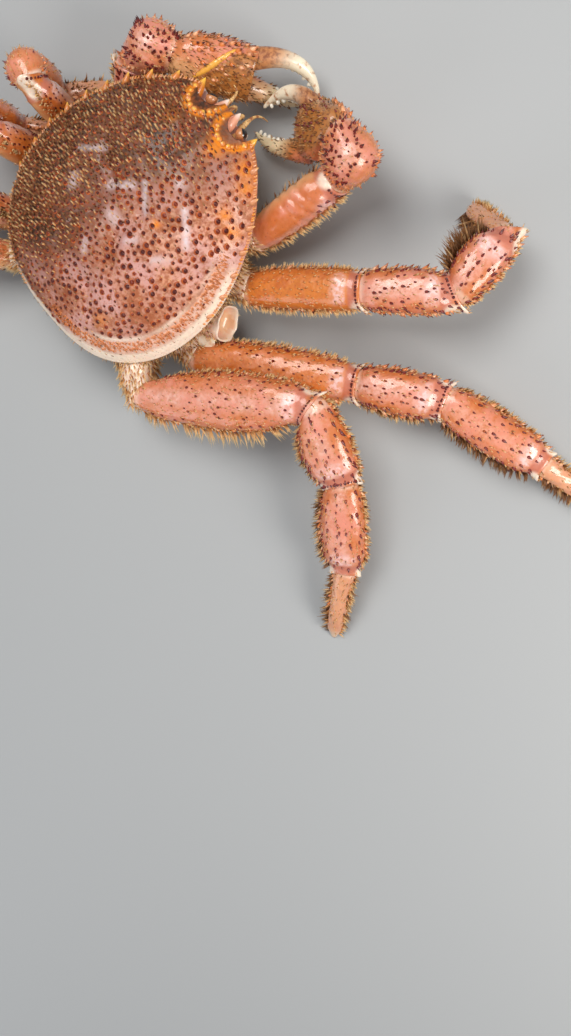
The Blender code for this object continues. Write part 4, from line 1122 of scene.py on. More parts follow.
def knuckle_skin(name, before, after, centre, radii, warm):
    """The short, round tube where a folded limb turns back: a ball drawn out to both joints."""
    turns = np.linspace(0, 360, 40, endpoint=False)
    ball = centre + even_ball(1600) * radii
    past_start = (ball - before.end) @ before.end_plane
    past_end = (after.start - ball) @ after.start_plane
    points = list(ball[(past_start > 0.0006) & (past_end > 0.0006)])
    points += list(before.surface(1.0, turns, -0.0004, plain=True))
    points += list(after.surface(0.0, turns, -0.0004, plain=True))
    thing = even_out(hull_of(name, points), 0.0005, 5)
    spots = vertices_of(thing)
    near_start = 1 - ease(np.abs((spots - before.end) @ before.end_plane), 0.0004, 0.0022)
    near_end = 1 - ease(np.abs((after.start - spots) @ after.start_plane), 0.0004, 0.0022)
    pale = np.maximum(0.8 * near_start, 0.3 * near_end)
    set_attributes(thing, pale=pale, band=0, warm=warm, upper=unit(spots - centre)[:, 2])
    return thing


def leg_limbs(leg):
    joints = [place(*joint) for joint in leg["joints"]]
    planes = joint_planes(joints, LEG_BOWS)
    planes[-1] = np.array((0, 0, -1.0))
    if "fold" in leg:
        planes[2:4] = [unit(place(*plane)) for plane in leg["fold"]]
    thin = unit(place(*leg["thin"]))
    at_joints = (LEG_COXA, LEG_HIP, LEG_KNEE, LEG_WRIST, LEG_ANKLE, LEG_TOE)
    coxa_middle = (LEG_COXA[0] * 1.03, LEG_COXA[1] * 1.02)
    middles = (coxa_middle, *leg["sizes"], DACTYL_MIDDLE)
    limbs = {}
    for index, part in enumerate(LEG_PARTS):
        sizes = (at_joints[index], middles[index], at_joints[index + 1])
        ends, faces = joints[index:index + 2], planes[index:index + 2]
        limbs[part] = Limb(ends, faces, LEG_BOWS[index], thin, sizes)
    limbs["coxa"].lobes = 0.0
    limbs["coxa"].neck = 1.0
    limbs["coxa"].folds = (0.42, 0.74)
    limbs["coxa"].swell = 0.0016
    limbs["merus"].neck = 0.97
    limbs["dactyl"].lobes = 0.0
    return limbs


LIMBS = {}
SKINS = {}
for name, leg in LEGS.items():
    limbs = leg_limbs(leg)
    for part, warm_share in zip(LEG_PARTS, leg["warm"]):
        node = name + "_" + part
        if part == "carpus" and "knuckle" in leg:
            centre = place(*leg["knuckle"])
            broad_radius, high_radius = leg["sizes"][1]
            radii = np.array((broad_radius, broad_radius, high_radius))
            skin = knuckle_skin(node, limbs["merus"], limbs["propodus"], centre, radii, warm_share)
            cut_away(skin, limbs["merus"])
            cut_away(skin, limbs["propodus"])
        else:
            pale = {"coxa": 0.95, "dactyl": 0.25}.get(part, 0)
            skin = limb_skin(node, limbs[part], warm_share, pale, pointed=part == "dactyl")
            spots = vertices_of(skin)
            if part == "dactyl":
                set_attribute(skin, "horn", 0.5 * ease(limbs[part].chart(spots)[0], 0.80, 0.95))
            spots[:, 2] = np.maximum(spots[:, 2], 0.0002)
            skin.data.vertices.foreach_set("co", spots.ravel())
        slot_name = {"coxa": "joint", "dactyl": "claw"}.get(part, "limb")
        LIMBS[node] = limbs[part]
        SKINS[node] = dress(skin, limb_material, slot_name, node)

# Broken leg
# The second right leg is gone past its hip. What is left is a pale, hairy stub with a thin white
# rim round its hollow end, and a flat cream piece of its muscle sheet hanging out of it.
STUMP_JOINTS = ((0.0235, -0.0080, 0.0110), (0.0400, -0.0070, 0.0145), (0.0475, -0.0020, 0.0175))
STUMP_SIZES = (LEG_HIP, (0.0066, 0.0058), (0.0064, 0.0056))
HOLLOW = ((1.03, -0.0001), (1.02, -0.0006), (0.95, -0.0006), (0.90, 0.0006), (0.84, 0.0024), (0.6, 0.0040))
# The sheet, from its root to its free end, and how wide and thick it is
SHEET_ROOT = place(0.0415, -0.0115, 0.0165)
SHEET_END = place(0.0500, -0.0125, 0.0150)
SHEET_ACROSS = unit(place(-0.1, 1, 0.25))
SHEET_OUT = unit(place(0.2, -0.2, 1))
SHEET_HALF = 0.0042
SHEET_THICK = 0.00025

joints = [place(*joint) for joint in STUMP_JOINTS]
planes = joint_planes(joints, (0, 0))
up = np.array((0, 0, 1.0))
inner_stub = Limb(joints[:2], planes[:2], 0, up, (LEG_COXA, LEG_COXA, LEG_HIP))
outer_stub = Limb(joints[1:], planes[1:], 0, up, STUMP_SIZES)
turns = np.linspace(0, 360, 56, endpoint=False)
rows = [inner_stub.surface(at, turns, plain=True) for at in np.linspace(0, 0.92, 16)]
for at in np.linspace(0.06, 0.98, 12):
    uneven = ripple(rows[0], 0.004, 4)[:, None] * up * 0.0001
    rows.append(outer_stub.surface(at, turns, plain=True) + uneven)
mouth = outer_stub.surface(1.0, turns, plain=True)
edge = ripple(mouth, 0.006, 12)[:, None] * outer_stub.end_plane * 0.0005
for share, depth in HOLLOW:
    ring = outer_stub.end + (mouth - outer_stub.end) * share
    rows.append(ring - outer_stub.end_plane * depth + edge * (share > 0.82))
stump = grid_mesh("leg_R2_stump", np.array(rows))
at, turn = outer_stub.chart(vertices_of(stump))
inside = np.linalg.norm(vertices_of(stump) - outer_stub.line(at)[0], axis=1) < 0.0052
pale = (0.6 + 0.4 * ease(at, 0.85, 0.98)) * (1 - 0.7 * inside)
set_attributes(stump, pale=pale, band=0, warm=0.3, upper=np.sin(np.radians(turn)))
leaf_turns = np.linspace(0, 2 * math.pi, 28, endpoint=False)
leaf_rows = []
for at_leaf in np.linspace(0, 1, 26):
    half = SHEET_HALF * math.sin(0.35 + 2.4 * at_leaf) ** 0.6
    across = half * np.cos(leaf_turns)
    middle = SHEET_ROOT + (SHEET_END - SHEET_ROOT) * at_leaf
    curl = np.cos(across / SHEET_HALF * 1.1) * 0.0016 + np.sin(leaf_turns) * SHEET_THICK
    leaf_rows.append(middle + SHEET_ACROSS * across[:, None] + SHEET_OUT * curl[:, None])
sheet_piece = grid_mesh("muscle_sheet", np.array(leaf_rows))
dress(stump, limb_material, "joint", "leg_R2_stump")
LIMBS["leg_R2_stump"], SKINS["leg_R2_stump"] = outer_stub, stump

# Claws
# Each arm ends in a hand with a fixed finger and a moving one, both with blunt white teeth. The
# hands are pink and thorny outside, brown and hairy inside, and the fingers end in hard, bare tips.
ARM_HIP = (0.0062, 0.0056)
ARM_ELBOW = (0.0064, 0.0060)
ARM_MERUS = (0.0078, 0.0066)
PALM_WRIST = (0.0068, 0.0056)
PALM_MIDDLE = (0.0098, 0.0068)
PALM_END = (0.0092, 0.0056)
FINGER_ROOT = (0.0038, 0.0034)
FIXED_ROOT = (0.0046, 0.0040)
FINGER_MIDDLE = (0.0026, 0.0024)
FINGER_TIP = (0.0006, 0.0006)
ARMS = {
    "arm_R": dict(
        joints=(
            (0.0180, 0.0170, 0.0105), (0.0320, 0.0270, 0.0145), (0.0380, 0.0595, 0.0215),
            (0.0292, 0.0702, 0.0290), (0.0172, 0.0629, 0.0135),
        ),
        knuckle=(0.0385, 0.0685, 0.0285), radii=(0.0088, 0.0092, 0.0086),
        fold=((0.10, 0.90, 0.40), (-0.95, 0.15, -0.30)), merus_thin=(1, -0.1, 0),
        across=(0.008, -0.0135, -0.005),
        fixed=((0.0205, 0.0570, 0.0140), (0.0120, 0.0505, 0.0100), (0.0023, 0.0484, 0.0070)),
        moving=((0.0146, 0.0690, 0.0185), (0.0050, 0.0668, 0.0170), (0.0001, 0.0561, 0.0120)),
    ),
    "arm_L": dict(
        joints=(
            (-0.0180, 0.0165, 0.0095), (-0.0248, 0.0190, 0.0095), (-0.0402, 0.0315, 0.0205),
            (-0.0295, 0.0460, 0.0265), (-0.0086, 0.0605, 0.0170),
        ),
        knuckle=(-0.0370, 0.0420, 0.0270), radii=(0.0090, 0.0088, 0.0082),
        fold=((-0.35, 0.85, 0.40), (0.88, 0.40, -0.25)), merus_thin=(0, 0, 1),
        across=(0.003, -0.010, -0.008),
        fixed=((-0.0080, 0.0569, 0.0130), (0.0012, 0.0630, 0.0070), (0.0075, 0.0681, 0.0040)),
        moving=((-0.0099, 0.0658, 0.0190), (-0.0008, 0.0744, 0.0140), (0.0105, 0.0714, 0.0060)),
    ),
}


def tube_rows(guides, radii, steps, sides=14, rings=0.0):
    """Rings of a thin tube along a curve bent by four guide points, with its radius waved."""
    at = np.linspace(0, 1, steps)
    back = 1 - at
    weights = np.stack((back**3, 3 * back**2 * at, 3 * back * at**2, at**3), axis=-1)
    line = weights @ np.array(guides)
    along = unit(np.gradient(line, axis=0))
    flat = unit(np.cross(along, (0.3, 0.1, 1.0)))
    deep = np.cross(along, flat)
    radius = np.interp(at, np.linspace(0, 1, len(radii)), radii)
    radius = radius * (1 + rings * np.sin(np.arange(steps) * math.pi * 0.5))
    turns = np.linspace(0, 2 * math.pi, sides, endpoint=False)
    way = flat[:, None] * np.cos(turns)[:, None] + deep[:, None] * np.sin(turns)[:, None]
    return line[:, None] + way * radius[:, None, None]


def finger_rows(points, thin, sizes, sides=36, steps=44, sunk=0.0):
    """Rings of a finger that bends through its middle point, from its root to its rounded tip."""
    root, middle, tip = points
    root = root + unit(root - middle) * sunk
    control = middle * 2 - (root + tip) / 2
    rows = []
    turns = np.linspace(0, 2 * math.pi, sides, endpoint=False)[:, None]
    for at in (1 - (1 - np.linspace(0, 1, steps)) ** 1.25):
        first = root + (control - root) * at
        second = control + (tip - control) * at
        along = unit(second - first)
        flat = unit(thin - along * (thin @ along))
        share = at / 0.5 if at < 0.5 else (at - 0.5) / 0.5
        low, high = (sizes[0], sizes[1]) if at < 0.5 else (sizes[1], sizes[2])
        half = np.array(low) + (np.array(high) - low) * (share + share * share * (3 - 2 * share)) / 2
        half = half * math.sqrt(max(1 - ((at - 0.97) / 0.03) ** 2, 0.05)) if at > 0.97 else half
        wide = np.cross(flat, along) * half[0] * np.cos(turns)
        rows.append(first + (second - first) * at + wide + flat * half[1] * np.sin(turns))
    return np.array(rows)


def finger_teeth(name, points, towards, count):
    """Blunt white teeth in a row on the biting edge of a finger."""
    root, middle, tip = points
    control = middle * 2 - (root + tip) / 2
    made = []
    for index in range(count):
        at = 0.34 + 0.56 * index / (count - 1)
        first, second = root + (control - root) * at, control + (tip - control) * at
        along = unit(second - first)
        inward = unit(towards - along * (towards @ along))
        edge = FINGER_MIDDLE[0] * (1.25 - 0.75 * at)
        size = 0.00125 - 0.0005 * at + 0.00015 * math.sin(index * 2.4)
        centre = first + (second - first) * at + inward * edge * 0.85
        tooth = ellipsoid(name, (0, 0, 0), (size * 0.9, size * 0.75, size * 1.25), 16)
        lie = Vector(inward + along * 0.2).to_track_quat("Z", "Y").to_matrix().to_4x4()
        tooth.data.transform(Matrix.Translation(Vector(centre)) @ lie)
        made.append(tooth)
    return made


def join(things):
    """Puts the meshes of several objects in the first one, and removes the others."""
    shape = bmesh.new()
    for thing in things:
        shape.from_mesh(thing.data)
    shape.to_mesh(things[0].data)
    shape.free()
    for thing in things[1:]:
        bpy.data.objects.remove(thing)
    return things[0]


def colour_hand(thing, limb, warm, finger_root, finger_tip):
    """Pale tips, pink outside and brown inside, as the hand's finish reads them."""
    spots = vertices_of(thing)
    at, turn = limb.chart(spots)
    along = unit(finger_tip - finger_root)
    reach = (spots - finger_root) @ along / np.linalg.norm(finger_tip - finger_root)
    if limb.inner[0] > 0:
        inward = ease(unit(spots - limb.line(at)[0]) @ unit(place(-1, -0.4, 0.7)), 0.1, 0.5)
    else:
        inward = ease(at - 0.32 - (282 - turn) / 74 * 0.36, 0, 0.06) * (turn > 200) * (turn < 330)
    upper = -unit(spots - limb.line(at)[0]) @ unit(limb.inner)
    horn = ease(reach, 0.05, 0.5)
    set_attributes(thing, pale=0, inner=inward, band=0, warm=warm, upper=upper, horn=horn)


finger_finish = Finish("horny finger", {"Coat Weight": 0.6, "Coat Roughness": 0.12})
horn = finger_finish.attribute("horn")
fine = finger_finish.noise(700, 3)
streak = finger_finish.noise(420, 2)
ground = finger_finish.mix(tone(204, 136, 84), tone(140, 78, 44), fine.step(0.4, 0.7))
ground = finger_finish.mix(ground, tone(255, 242, 214), horn * streak.step(0.25, 0.5))
finger_material = finger_finish.feed(Base_Color=ground, Roughness=0.42 - horn * 0.18)
tooth_finish = Finish("tooth", {
    "Base Color": tone(250, 244, 226), "Roughness": 0.25, "Coat Weight": 0.6,
})

for name, arm in ARMS.items():
    joints = [place(*joint) for joint in arm["joints"]]
    planes = joint_planes(joints, (0, 0.0006, 0, 0))
    planes[2:4] = [unit(place(*plane)) for plane in arm["fold"]]
    hand_thin = unit(np.cross(joints[4] - joints[3], unit(place(*arm["across"]))))
    thin = unit(place(*arm["merus_thin"]))
    coxa_sizes = (LEG_COXA, (0.0058, 0.0056), ARM_HIP)
    coxa = Limb(joints[:2], planes[:2], 0, thin, coxa_sizes)
    merus = Limb(joints[1:3], planes[1:3], 0.0006, thin, (ARM_HIP, ARM_MERUS, ARM_ELBOW))
    palm = Limb(joints[3:], planes[3:], 0, hand_thin, (PALM_WRIST, PALM_MIDDLE, PALM_END))
    coxa.lobes = 0.0
    coxa.neck = 1.0
    coxa.folds = (0.45,)
    coxa.swell = 0.0005
    merus.neck = 0.92
    merus.folds = (0.48, 0.60, 0.72) if name == "arm_R" else ()
    palm.lobes = 0.0
    fixed = [place(*point) for point in arm["fixed"]]
    moving = [place(*point) for point in arm["moving"]]
    palm.inner = place(-1 if name == "arm_R" else 1, -0.4, 0)
    skins = {
        "coxa": limb_skin(name + "_coxa", coxa, 0.4, 0.8),
        "merus": limb_skin(name + "_merus", merus, 0.3),
        "carpus": knuckle_skin(
            name + "_carpus", merus, palm, place(*arm["knuckle"]), np.array(arm["radii"]), 0.15
        ),
    }
    for part, skin in skins.items():
        dress(skin, limb_material, "joint" if part == "coxa" else "limb", name + "_" + part)
    sizes = (FIXED_ROOT, FINGER_MIDDLE, FINGER_TIP)
    hand = limb_skin(name + "_palm", palm, 0.2)
    fixed_finger = grid_mesh("fixed finger", finger_rows(fixed, hand_thin, sizes, sunk=0.004))
    hand = even_out(join([hand, fixed_finger]), 0.0004, 6)
    colour_hand(hand, palm, 0.35, fixed[0], fixed[2])
    dress(hand, limb_material, "limb", name + "_palm")
    sizes = (FINGER_ROOT, FINGER_MIDDLE, FINGER_TIP)
    finger = grid_mesh(name + "_finger", finger_rows(moving, hand_thin, sizes, sunk=0.0025))
    colour_hand(finger, palm, 0.35, moving[0], moving[2])
    dress(finger, finger_material, "claw", name + "_finger")
    teeth = finger_teeth(name + "_teeth", fixed, moving[1] - fixed[1], 6)
    teeth += finger_teeth(name + "_teeth", moving, fixed[1] - moving[1], 6)
    teeth = join(teeth)
    teeth.name = name + "_teeth"
    dress(teeth, tooth_finish.material, "claw")
    LIMBS.update({name + "_coxa": coxa, name + "_merus": merus, name + "_palm": palm})
    LIMBS[name + "_carpus"], LIMBS[name + "_finger"] = palm, palm
    SKINS.update({name + "_" + part: skin for part, skin in skins.items()})
    SKINS[name + "_palm"], SKINS[name + "_finger"] = hand, finger

crest_finish = Finish("crest", {"Base Color": tone(244, 178, 74), "Roughness": 0.3, "Coat Weight": 0.6})
palm = LIMBS["arm_L_palm"]
crest_at = np.array((0.30, 0.44, 0.56, 0.72))
crest_turn = np.array((284, 258, 232, 205))
guides = palm.surface(crest_at, crest_turn, np.array((0, 0.0006, 0.0006, 0)))
thick = (0.0004, 0.0010, 0.0011, 0.0009, 0.0004)
crest = grid_mesh("arm_L_crest", tube_rows(guides, thick, 40, 16, 0.05))
dress(crest, crest_finish.material, "limb")

sheet_finish = Finish("muscle sheet", {
    "Roughness": 0.25, "Coat Weight": 0.5, "Subsurface Weight": 0.1, "Subsurface Scale": 0.002,
})
fine = sheet_finish.noise(400, 2)
ground = sheet_finish.mix(tone(250, 228, 200), tone(226, 170, 132), fine.step(0.45, 0.7))
sheet_finish.feed(Base_Color=ground)
dress(sheet_piece, sheet_finish.material, "joint")

# Face
# Black, glossy eyes stand on short pale stalks in their orbits. Thin ringed feelers come out beside
# the middle tooth, and two hinged plates close the mouth below them.
EYE_RADIUS = 0.0021
EYE_PLACE = (0.0078, 0.0462, 0.0312)
STALK_ROOT = (0.0045, 0.0395, 0.0300)
# Bends of the feelers: side, forward, height of four guide points. The right one hangs lower
ANTENNA_BENDS = ((0.0048, 0.0400, 0.0265), (0.0050, 0.0500, 0.0270), (0.0030, 0.0545, 0.0260))
ANTENNA_DROOPS = {1: (0.0065, 0.0545, 0.0180), -1: (0.0065, 0.0545, 0.0290)}
ANTENNULE_BENDS = (
    (0.0018, 0.0400, 0.0285), (0.0018, 0.0500, 0.0300), (0.0024, 0.0520, 0.0255), (0.0016, 0.0485, 0.0240),
)
THORAX_HALF_WIDTH = 0.0245
THORAX_TOP = PLATE_FLOOR - 0.0003
THORAX_BOTTOM = 0.0009
THORAX_REAR = 0.0395
THORAX_FRONT_LOW = 0.015
THORAX_FRONT_HIGH = 0.0365


def mouth_plate_rows(side):
    """Rings of one outer mouthpart, a plate that leans on the mouth field beside the middle."""
    low = np.array((0, -(THORAX_FRONT_LOW + 0.0020), THORAX_BOTTOM + 0.0022))
    high = np.array((0, -(THORAX_FRONT_HIGH - 0.0005), THORAX_TOP - 0.0030))
    along = unit(high - low)
    outer = np.array((0, -along[2], along[1]))
    outer = outer if outer[1] < 0 else -outer
    turns = np.linspace(0, 2 * math.pi, 40, endpoint=False)
    rows = []
    for at in np.linspace(0, 1, 46):
        width = np.interp(at, (0, 0.12, 0.55, 0.62, 0.7, 1), (0.55, 0.9, 1, 0.93, 0.98, 0.72))
        half = 0.0043 * width
        hinge = math.exp(-(((at - 0.60) / 0.012) ** 2)) + math.exp(-(((at - 0.12) / 0.012) ** 2))
        across = np.sign(np.cos(turns)) * np.abs(np.cos(turns)) ** 0.6 * half + half + 0.00045
        lift = np.sin(turns) * 0.0011 * (1 - 0.35 * hinge) + 0.0002 * np.sin(across * 1900)
        centre = low + (high - low) * at
        rows.append(centre + outer * lift[:, None] + np.array((-side, 0, 0)) * across[:, None])
    return np.array(rows)


eye_finish = Finish("eye", {"Coat Weight": 1.0, "Coat Roughness": 0.05})
cornea = eye_finish.attribute("cornea")
eye_finish.feed(
    Base_Color=eye_finish.mix(tone(196, 132, 84), tone(14, 10, 12), cornea.step(0.45, 0.55)),
    Roughness=0.4 - cornea * 0.32,
)
feeler_finish = Finish("feeler", {"Roughness": 0.4})
fine = feeler_finish.noise(900, 3)
ground = feeler_finish.mix(tone(226, 184, 120), tone(150, 92, 56), fine.step(0.4, 0.65))
feeler_finish.feed(Base_Color=ground)
belly_finish = Finish("belly", {
    "Coat Weight": 0.3, "Coat Roughness": 0.2, "Subsurface Weight": 0.08, "Subsurface Scale": 0.002,
})
fine = belly_finish.noise(500, 4)
broad = belly_finish.noise(110, 3)
ground = belly_finish.mix(tone(236, 212, 168), tone(206, 166, 116), broad.step(0.4, 0.7))
ground = belly_finish.mix(ground, tone(160, 108, 66), fine.step(0.58, 0.78) * 0.6)
belly_finish.feed(
    Base_Color=ground,
    Roughness=0.4 + fine * 0.25,
    Normal=belly_finish.bump(fine, 0.0002, 0.8),
)

for side, letter in ((1, "R"), (-1, "L")):
    mirror = np.array((side, 1, 1))
    eye_centre = place(*(mirror * EYE_PLACE))
    root = place(*(mirror * STALK_ROOT))
    ball = ellipsoid("eye_" + letter, eye_centre, (EYE_RADIUS,) * 3, 40)
    looking = unit(vertices_of(ball) - eye_centre) @ unit(place(side * 0.5, 0.8, -0.1))
    set_attribute(ball, "cornea", ease(looking, 0.25, 0.45))
    dress(ball, eye_finish.material, "eye", "eye_" + letter)
    line = [root + (eye_centre - root) * share for share in (0, 0.33, 0.66, 1)]
    stalk = grid_mesh("eye_stalk_" + letter, tube_rows(line, (0.0014, 0.0013, 0.0011, 0.0016), 20, 20))
    dress(stalk, feeler_finish.material, "feeler")
    guides = [place(*(mirror * bend)) for bend in (*ANTENNA_BENDS, ANTENNA_DROOPS[side])]
    thick = (0.0013, 0.0013, 0.0012, 0.0009, 0.0006, 0.0005, 0.0004, 0.0003, 0.00022)
    antenna = grid_mesh("antenna_" + letter, tube_rows(guides, thick, 70, rings=0.09))
    dress(antenna, feeler_finish.material, "feeler", "antenna_" + letter)
    guides = [place(*(mirror * bend)) for bend in ANTENNULE_BENDS]
    thick = (0.0010, 0.0010, 0.0009, 0.0008, 0.0006, 0.0005, 0.0003)
    antennule = grid_mesh("antennule_" + letter, tube_rows(guides, thick, 50, rings=0.07))
    dress(antennule, feeler_finish.material, "feeler", "antennule_" + letter)
    mouth_plate = grid_mesh("maxilliped_" + letter, mouth_plate_rows(side))
    dress(mouth_plate, belly_finish.material, "belly", "maxilliped_" + letter)

# Underside
# The breast is a pale, jointed shield between the legs. The narrow tail is folded under it in a
# groove, as it always is on a male, with a hinge line between each two of its rings.
THORAX_LEVELS = ((THORAX_BOTTOM, 0.78), (0.0035, 0.92), (0.0085, 1.0), (0.0135, 1.0), (THORAX_TOP, 0.94))
BREAST_LINES = (0.006, -0.006, -0.0175, -0.029)
ABDOMEN_STATIONS = (
    (-0.0420, 0.0150, 0.0120), (-0.0430, 0.0090, 0.0125), (-0.0420, 0.0042, 0.0128),
    (-0.0375, 0.0014, 0.0124), (-0.0290, 0.0014, 0.0112), (-0.0200, 0.0014, 0.0096),
    (-0.0105, 0.0014, 0.0076), (-0.0010, 0.0014, 0.0058), (0.0070, 0.0014, 0.0040), (0.0110, 0.0014, 0.0022),
)

rows = []
turns = np.linspace(0, 2 * math.pi, 120, endpoint=False)
for inward in (0.15, 0.4, 0.6, 0.75, 0.86, 0.94):
    rows.append((inward, THORAX_BOTTOM))
rows += [(1.0, height) for height in np.linspace(THORAX_BOTTOM, THORAX_TOP, 22)]
rows += [(inward, THORAX_TOP) for inward in (0.8, 0.4)]
thorax_rows = []
for inward, height in rows:
    up = (height - THORAX_BOTTOM) / (THORAX_TOP - THORAX_BOTTOM)
    share = np.interp(height, *zip(*THORAX_LEVELS)) * inward
    front = (THORAX_FRONT_LOW + (THORAX_FRONT_HIGH - THORAX_FRONT_LOW) * up**0.9) * inward
    side = np.abs(np.sin(turns)) ** 0.85 * np.sign(np.sin(turns)) * THORAX_HALF_WIDTH * share
    forward = np.cos(turns) * np.where(np.cos(turns) > 0, front, THORAX_REAR * share)
    sunk = sum(np.exp(-(((forward - line - np.abs(side) * 0.25) / 0.0008) ** 2)) for line in BREAST_LINES)
    lift = sunk * 0.0007 * (height < 0.004) + 0.0006 * (1 - inward) * (up < 0.5)
    thorax_rows.append(place(side * (1 - 0.02 * sunk), forward, height + lift))
thorax = grid_mesh("thorax", np.array(thorax_rows))
dress(thorax, belly_finish.material, "belly", "thorax")

stations = np.array(ABDOMEN_STATIONS)
marks = np.linspace(0, 1, len(stations))
rows = []
for at in np.linspace(0, 1, 118):
    forward, height, width = (np.interp(at, marks, stations[:, axis]) for axis in range(3))
    before, after = max(at - 0.06, 0), min(at + 0.06, 1)
    ahead = [np.interp(after, marks, stations[:, axis]) - np.interp(before, marks, stations[:, axis])
             for axis in (0, 1)]
    along = unit(np.array((0, -ahead[0], ahead[1])))
    outer = np.array((0, -along[2], along[1]))
    hinge = math.exp(-((((at * 7) % 1 - 0.5) / 0.07) ** 2)) if 0.07 < at < 0.93 else 0
    turns = np.linspace(0, 2 * math.pi, 44, endpoint=False)
    across = np.sign(np.cos(turns)) * np.abs(np.cos(turns)) ** 0.5 * width * (1 - 0.03 * hinge)
    deep = np.sign(np.sin(turns)) * np.abs(np.sin(turns)) ** 0.7 * 0.0014 * (1 - 0.35 * hinge)
    rows.append(place(0, forward, height) + np.array((1, 0, 0)) * across[:, None] + outer * deep[:, None])
abdomen = grid_mesh("abdomen", np.array(rows))
spots = vertices_of(abdomen)
spots[:, 2] = np.maximum(spots[:, 2], 0.0001)
abdomen.data.vertices.foreach_set("co", spots.ravel())
dress(abdomen, belly_finish.material, "belly", "abdomen")

# Teeth round the margin and the face
# Nine larger teeth stand along the rim's far side and seven along its near side, with fine
# serrations between them. Stout ones guard the orbits, whose edges are set with beads.
RIM_TEETH = (
    (26, 0.0032, 0.0013), (38, 0.0034, 0.0013), (49, 0.0034, 0.0012), (60, 0.0032, 0.0012),
    (71, 0.0030, 0.0011), (82, 0.0028, 0.0011), (93, 0.0026, 0.0010), (104, 0.0024, 0.0010),
    (116, 0.0022, 0.0010),
)
# Place, way, length, half width and paleness of the front teeth on one side, which are paired
FRONT_TEETH = (
    ((0.0128, 0.0445, 0.0325), (0.15, 1.0, 0.12), 0.0052, 0.0020, 0.0),
    ((0.0030, 0.0460, 0.0325), (0.05, 1.0, -0.10), 0.0048, 0.0019, 1.5),
    ((0.0075, 0.0435, 0.0265), (0.10, 1.0, 0.10), 0.0040, 0.0016, 1.5),
)
tooth_rings = ((-0.5, 1.35), (0, 1.12), (0.35, 0.86), (0.65, 0.5), (0.88, 0.2))
tooth_form = form("tooth_form", 12, tooth_rings, 1.0, 0.1)
rim_finish = Finish("margin tooth", {"Coat Weight": 0.5, "Coat Roughness": 0.15})
tip = rim_finish.attribute("tip")
shade = rim_finish.attribute("shade")
root_tone = rim_finish.mix(tone(222, 128, 40), tone(214, 150, 112), shade)
point_tone = rim_finish.mix(tone(246, 190, 70), tone(226, 168, 110), shade)
root_tone = rim_finish.mix(root_tone, tone(236, 168, 136), shade.step(1.2, 1.4))
point_tone = rim_finish.mix(point_tone, tone(252, 226, 210), shade.step(1.2, 1.4))
ground = rim_finish.mix(root_tone, point_tone, tip.step(0.35, 0.9))
rim_finish.feed(Base_Color=ground, Roughness=0.4 - tip * 0.15)

teeth = Roots()
for side in (-1, 1):
    for degrees, length, radius in RIM_TEETH:
        if side > 0 and degrees > 100:
            continue
        angle = side * math.radians(degrees)
        reach = rim_reach(np.array([angle])) * 0.985
        root = plate_point(reach * math.sin(angle), reach * math.cos(angle))
        way = place(math.sin(angle), math.cos(angle) + 1.0, 0.2)
        size = 0.8 - 0.12 * side
        patch = np.array([[0.5 + angle / 8, 0.1]])
        teeth.add(root, way[None], radius * size, length * size, patch, 0.45 + 0.3 * side)
    for (out, ahead, high), (way_out, way_on, way_up), length, radius, paleness in FRONT_TEETH:
        root = place(side * out, ahead, high)[None]
        way = place(side * way_out, way_on, way_up)[None]
        teeth.add(root, way, radius, length, np.array([[0.5 + side * out * 8, 0.2]]), paleness)
    # Beads of the orbit's edge
    turn = np.linspace(-2.9, -0.25, 10) + rng.uniform(-0.12, 0.12, 10)
    out = side * (ORBIT_SIDE + 0.0056 * np.cos(turn))
    ahead = ORBIT_FORWARD + 0.0060 * np.sin(turn)
    roots = plate_point(out, ahead)
    way = unit(place(0, 0.5, 1)) + np.zeros_like(roots)
    way = way + rng.normal(0, 0.35, way.shape)
    size = rng.uniform(0.0006, 0.0011, len(turn))
    long = size * rng.uniform(0.5, 0.9, len(turn))
    teeth.add(roots, way, size, long, plate_unwrap(out, ahead), rng.uniform(0, 0.3, len(turn)))
    # Lumps of the wall under the eye
    out = side * rng.uniform(0.0020, 0.0125, 26)
    high = rng.uniform(0.0235, 0.0285, 26)
    ahead = 0.0452 - np.abs(out) * 0.10 - (0.0285 - high) * 0.35
    size = rng.uniform(0.0005, 0.0009, 26)
    way = unit(place(0, 1, 0.35)) + np.zeros((26, 3))
    teeth.add(place(out, ahead, high), way, size, size * 1.4, np.stack((out * 20, high * 20), -1), 0.9)
# Serrations between the larger teeth
degrees = np.arange(16, 165, 1.35)
for side in (-1, 1):
    turn = degrees[(side < 0) | (degrees < 98)]
    angle = side * np.radians(turn + rng.uniform(-0.35, 0.35, len(turn)))
    reach = rim_reach(angle) * 0.992
    out, ahead = reach * np.sin(angle), reach * np.cos(angle)
    way = place(np.sin(angle), np.cos(angle) + 0.6, 0.25)
    size = rng.uniform(0.00032, 0.00050, len(angle)) * (1 - 0.3 * (turn > 120))
    teeth.add(plate_point(out, ahead), way, size, size * 2.1, plate_unwrap(out, ahead))
teeth.plant("shell_teeth", tooth_form, rim_finish.material, "shell")

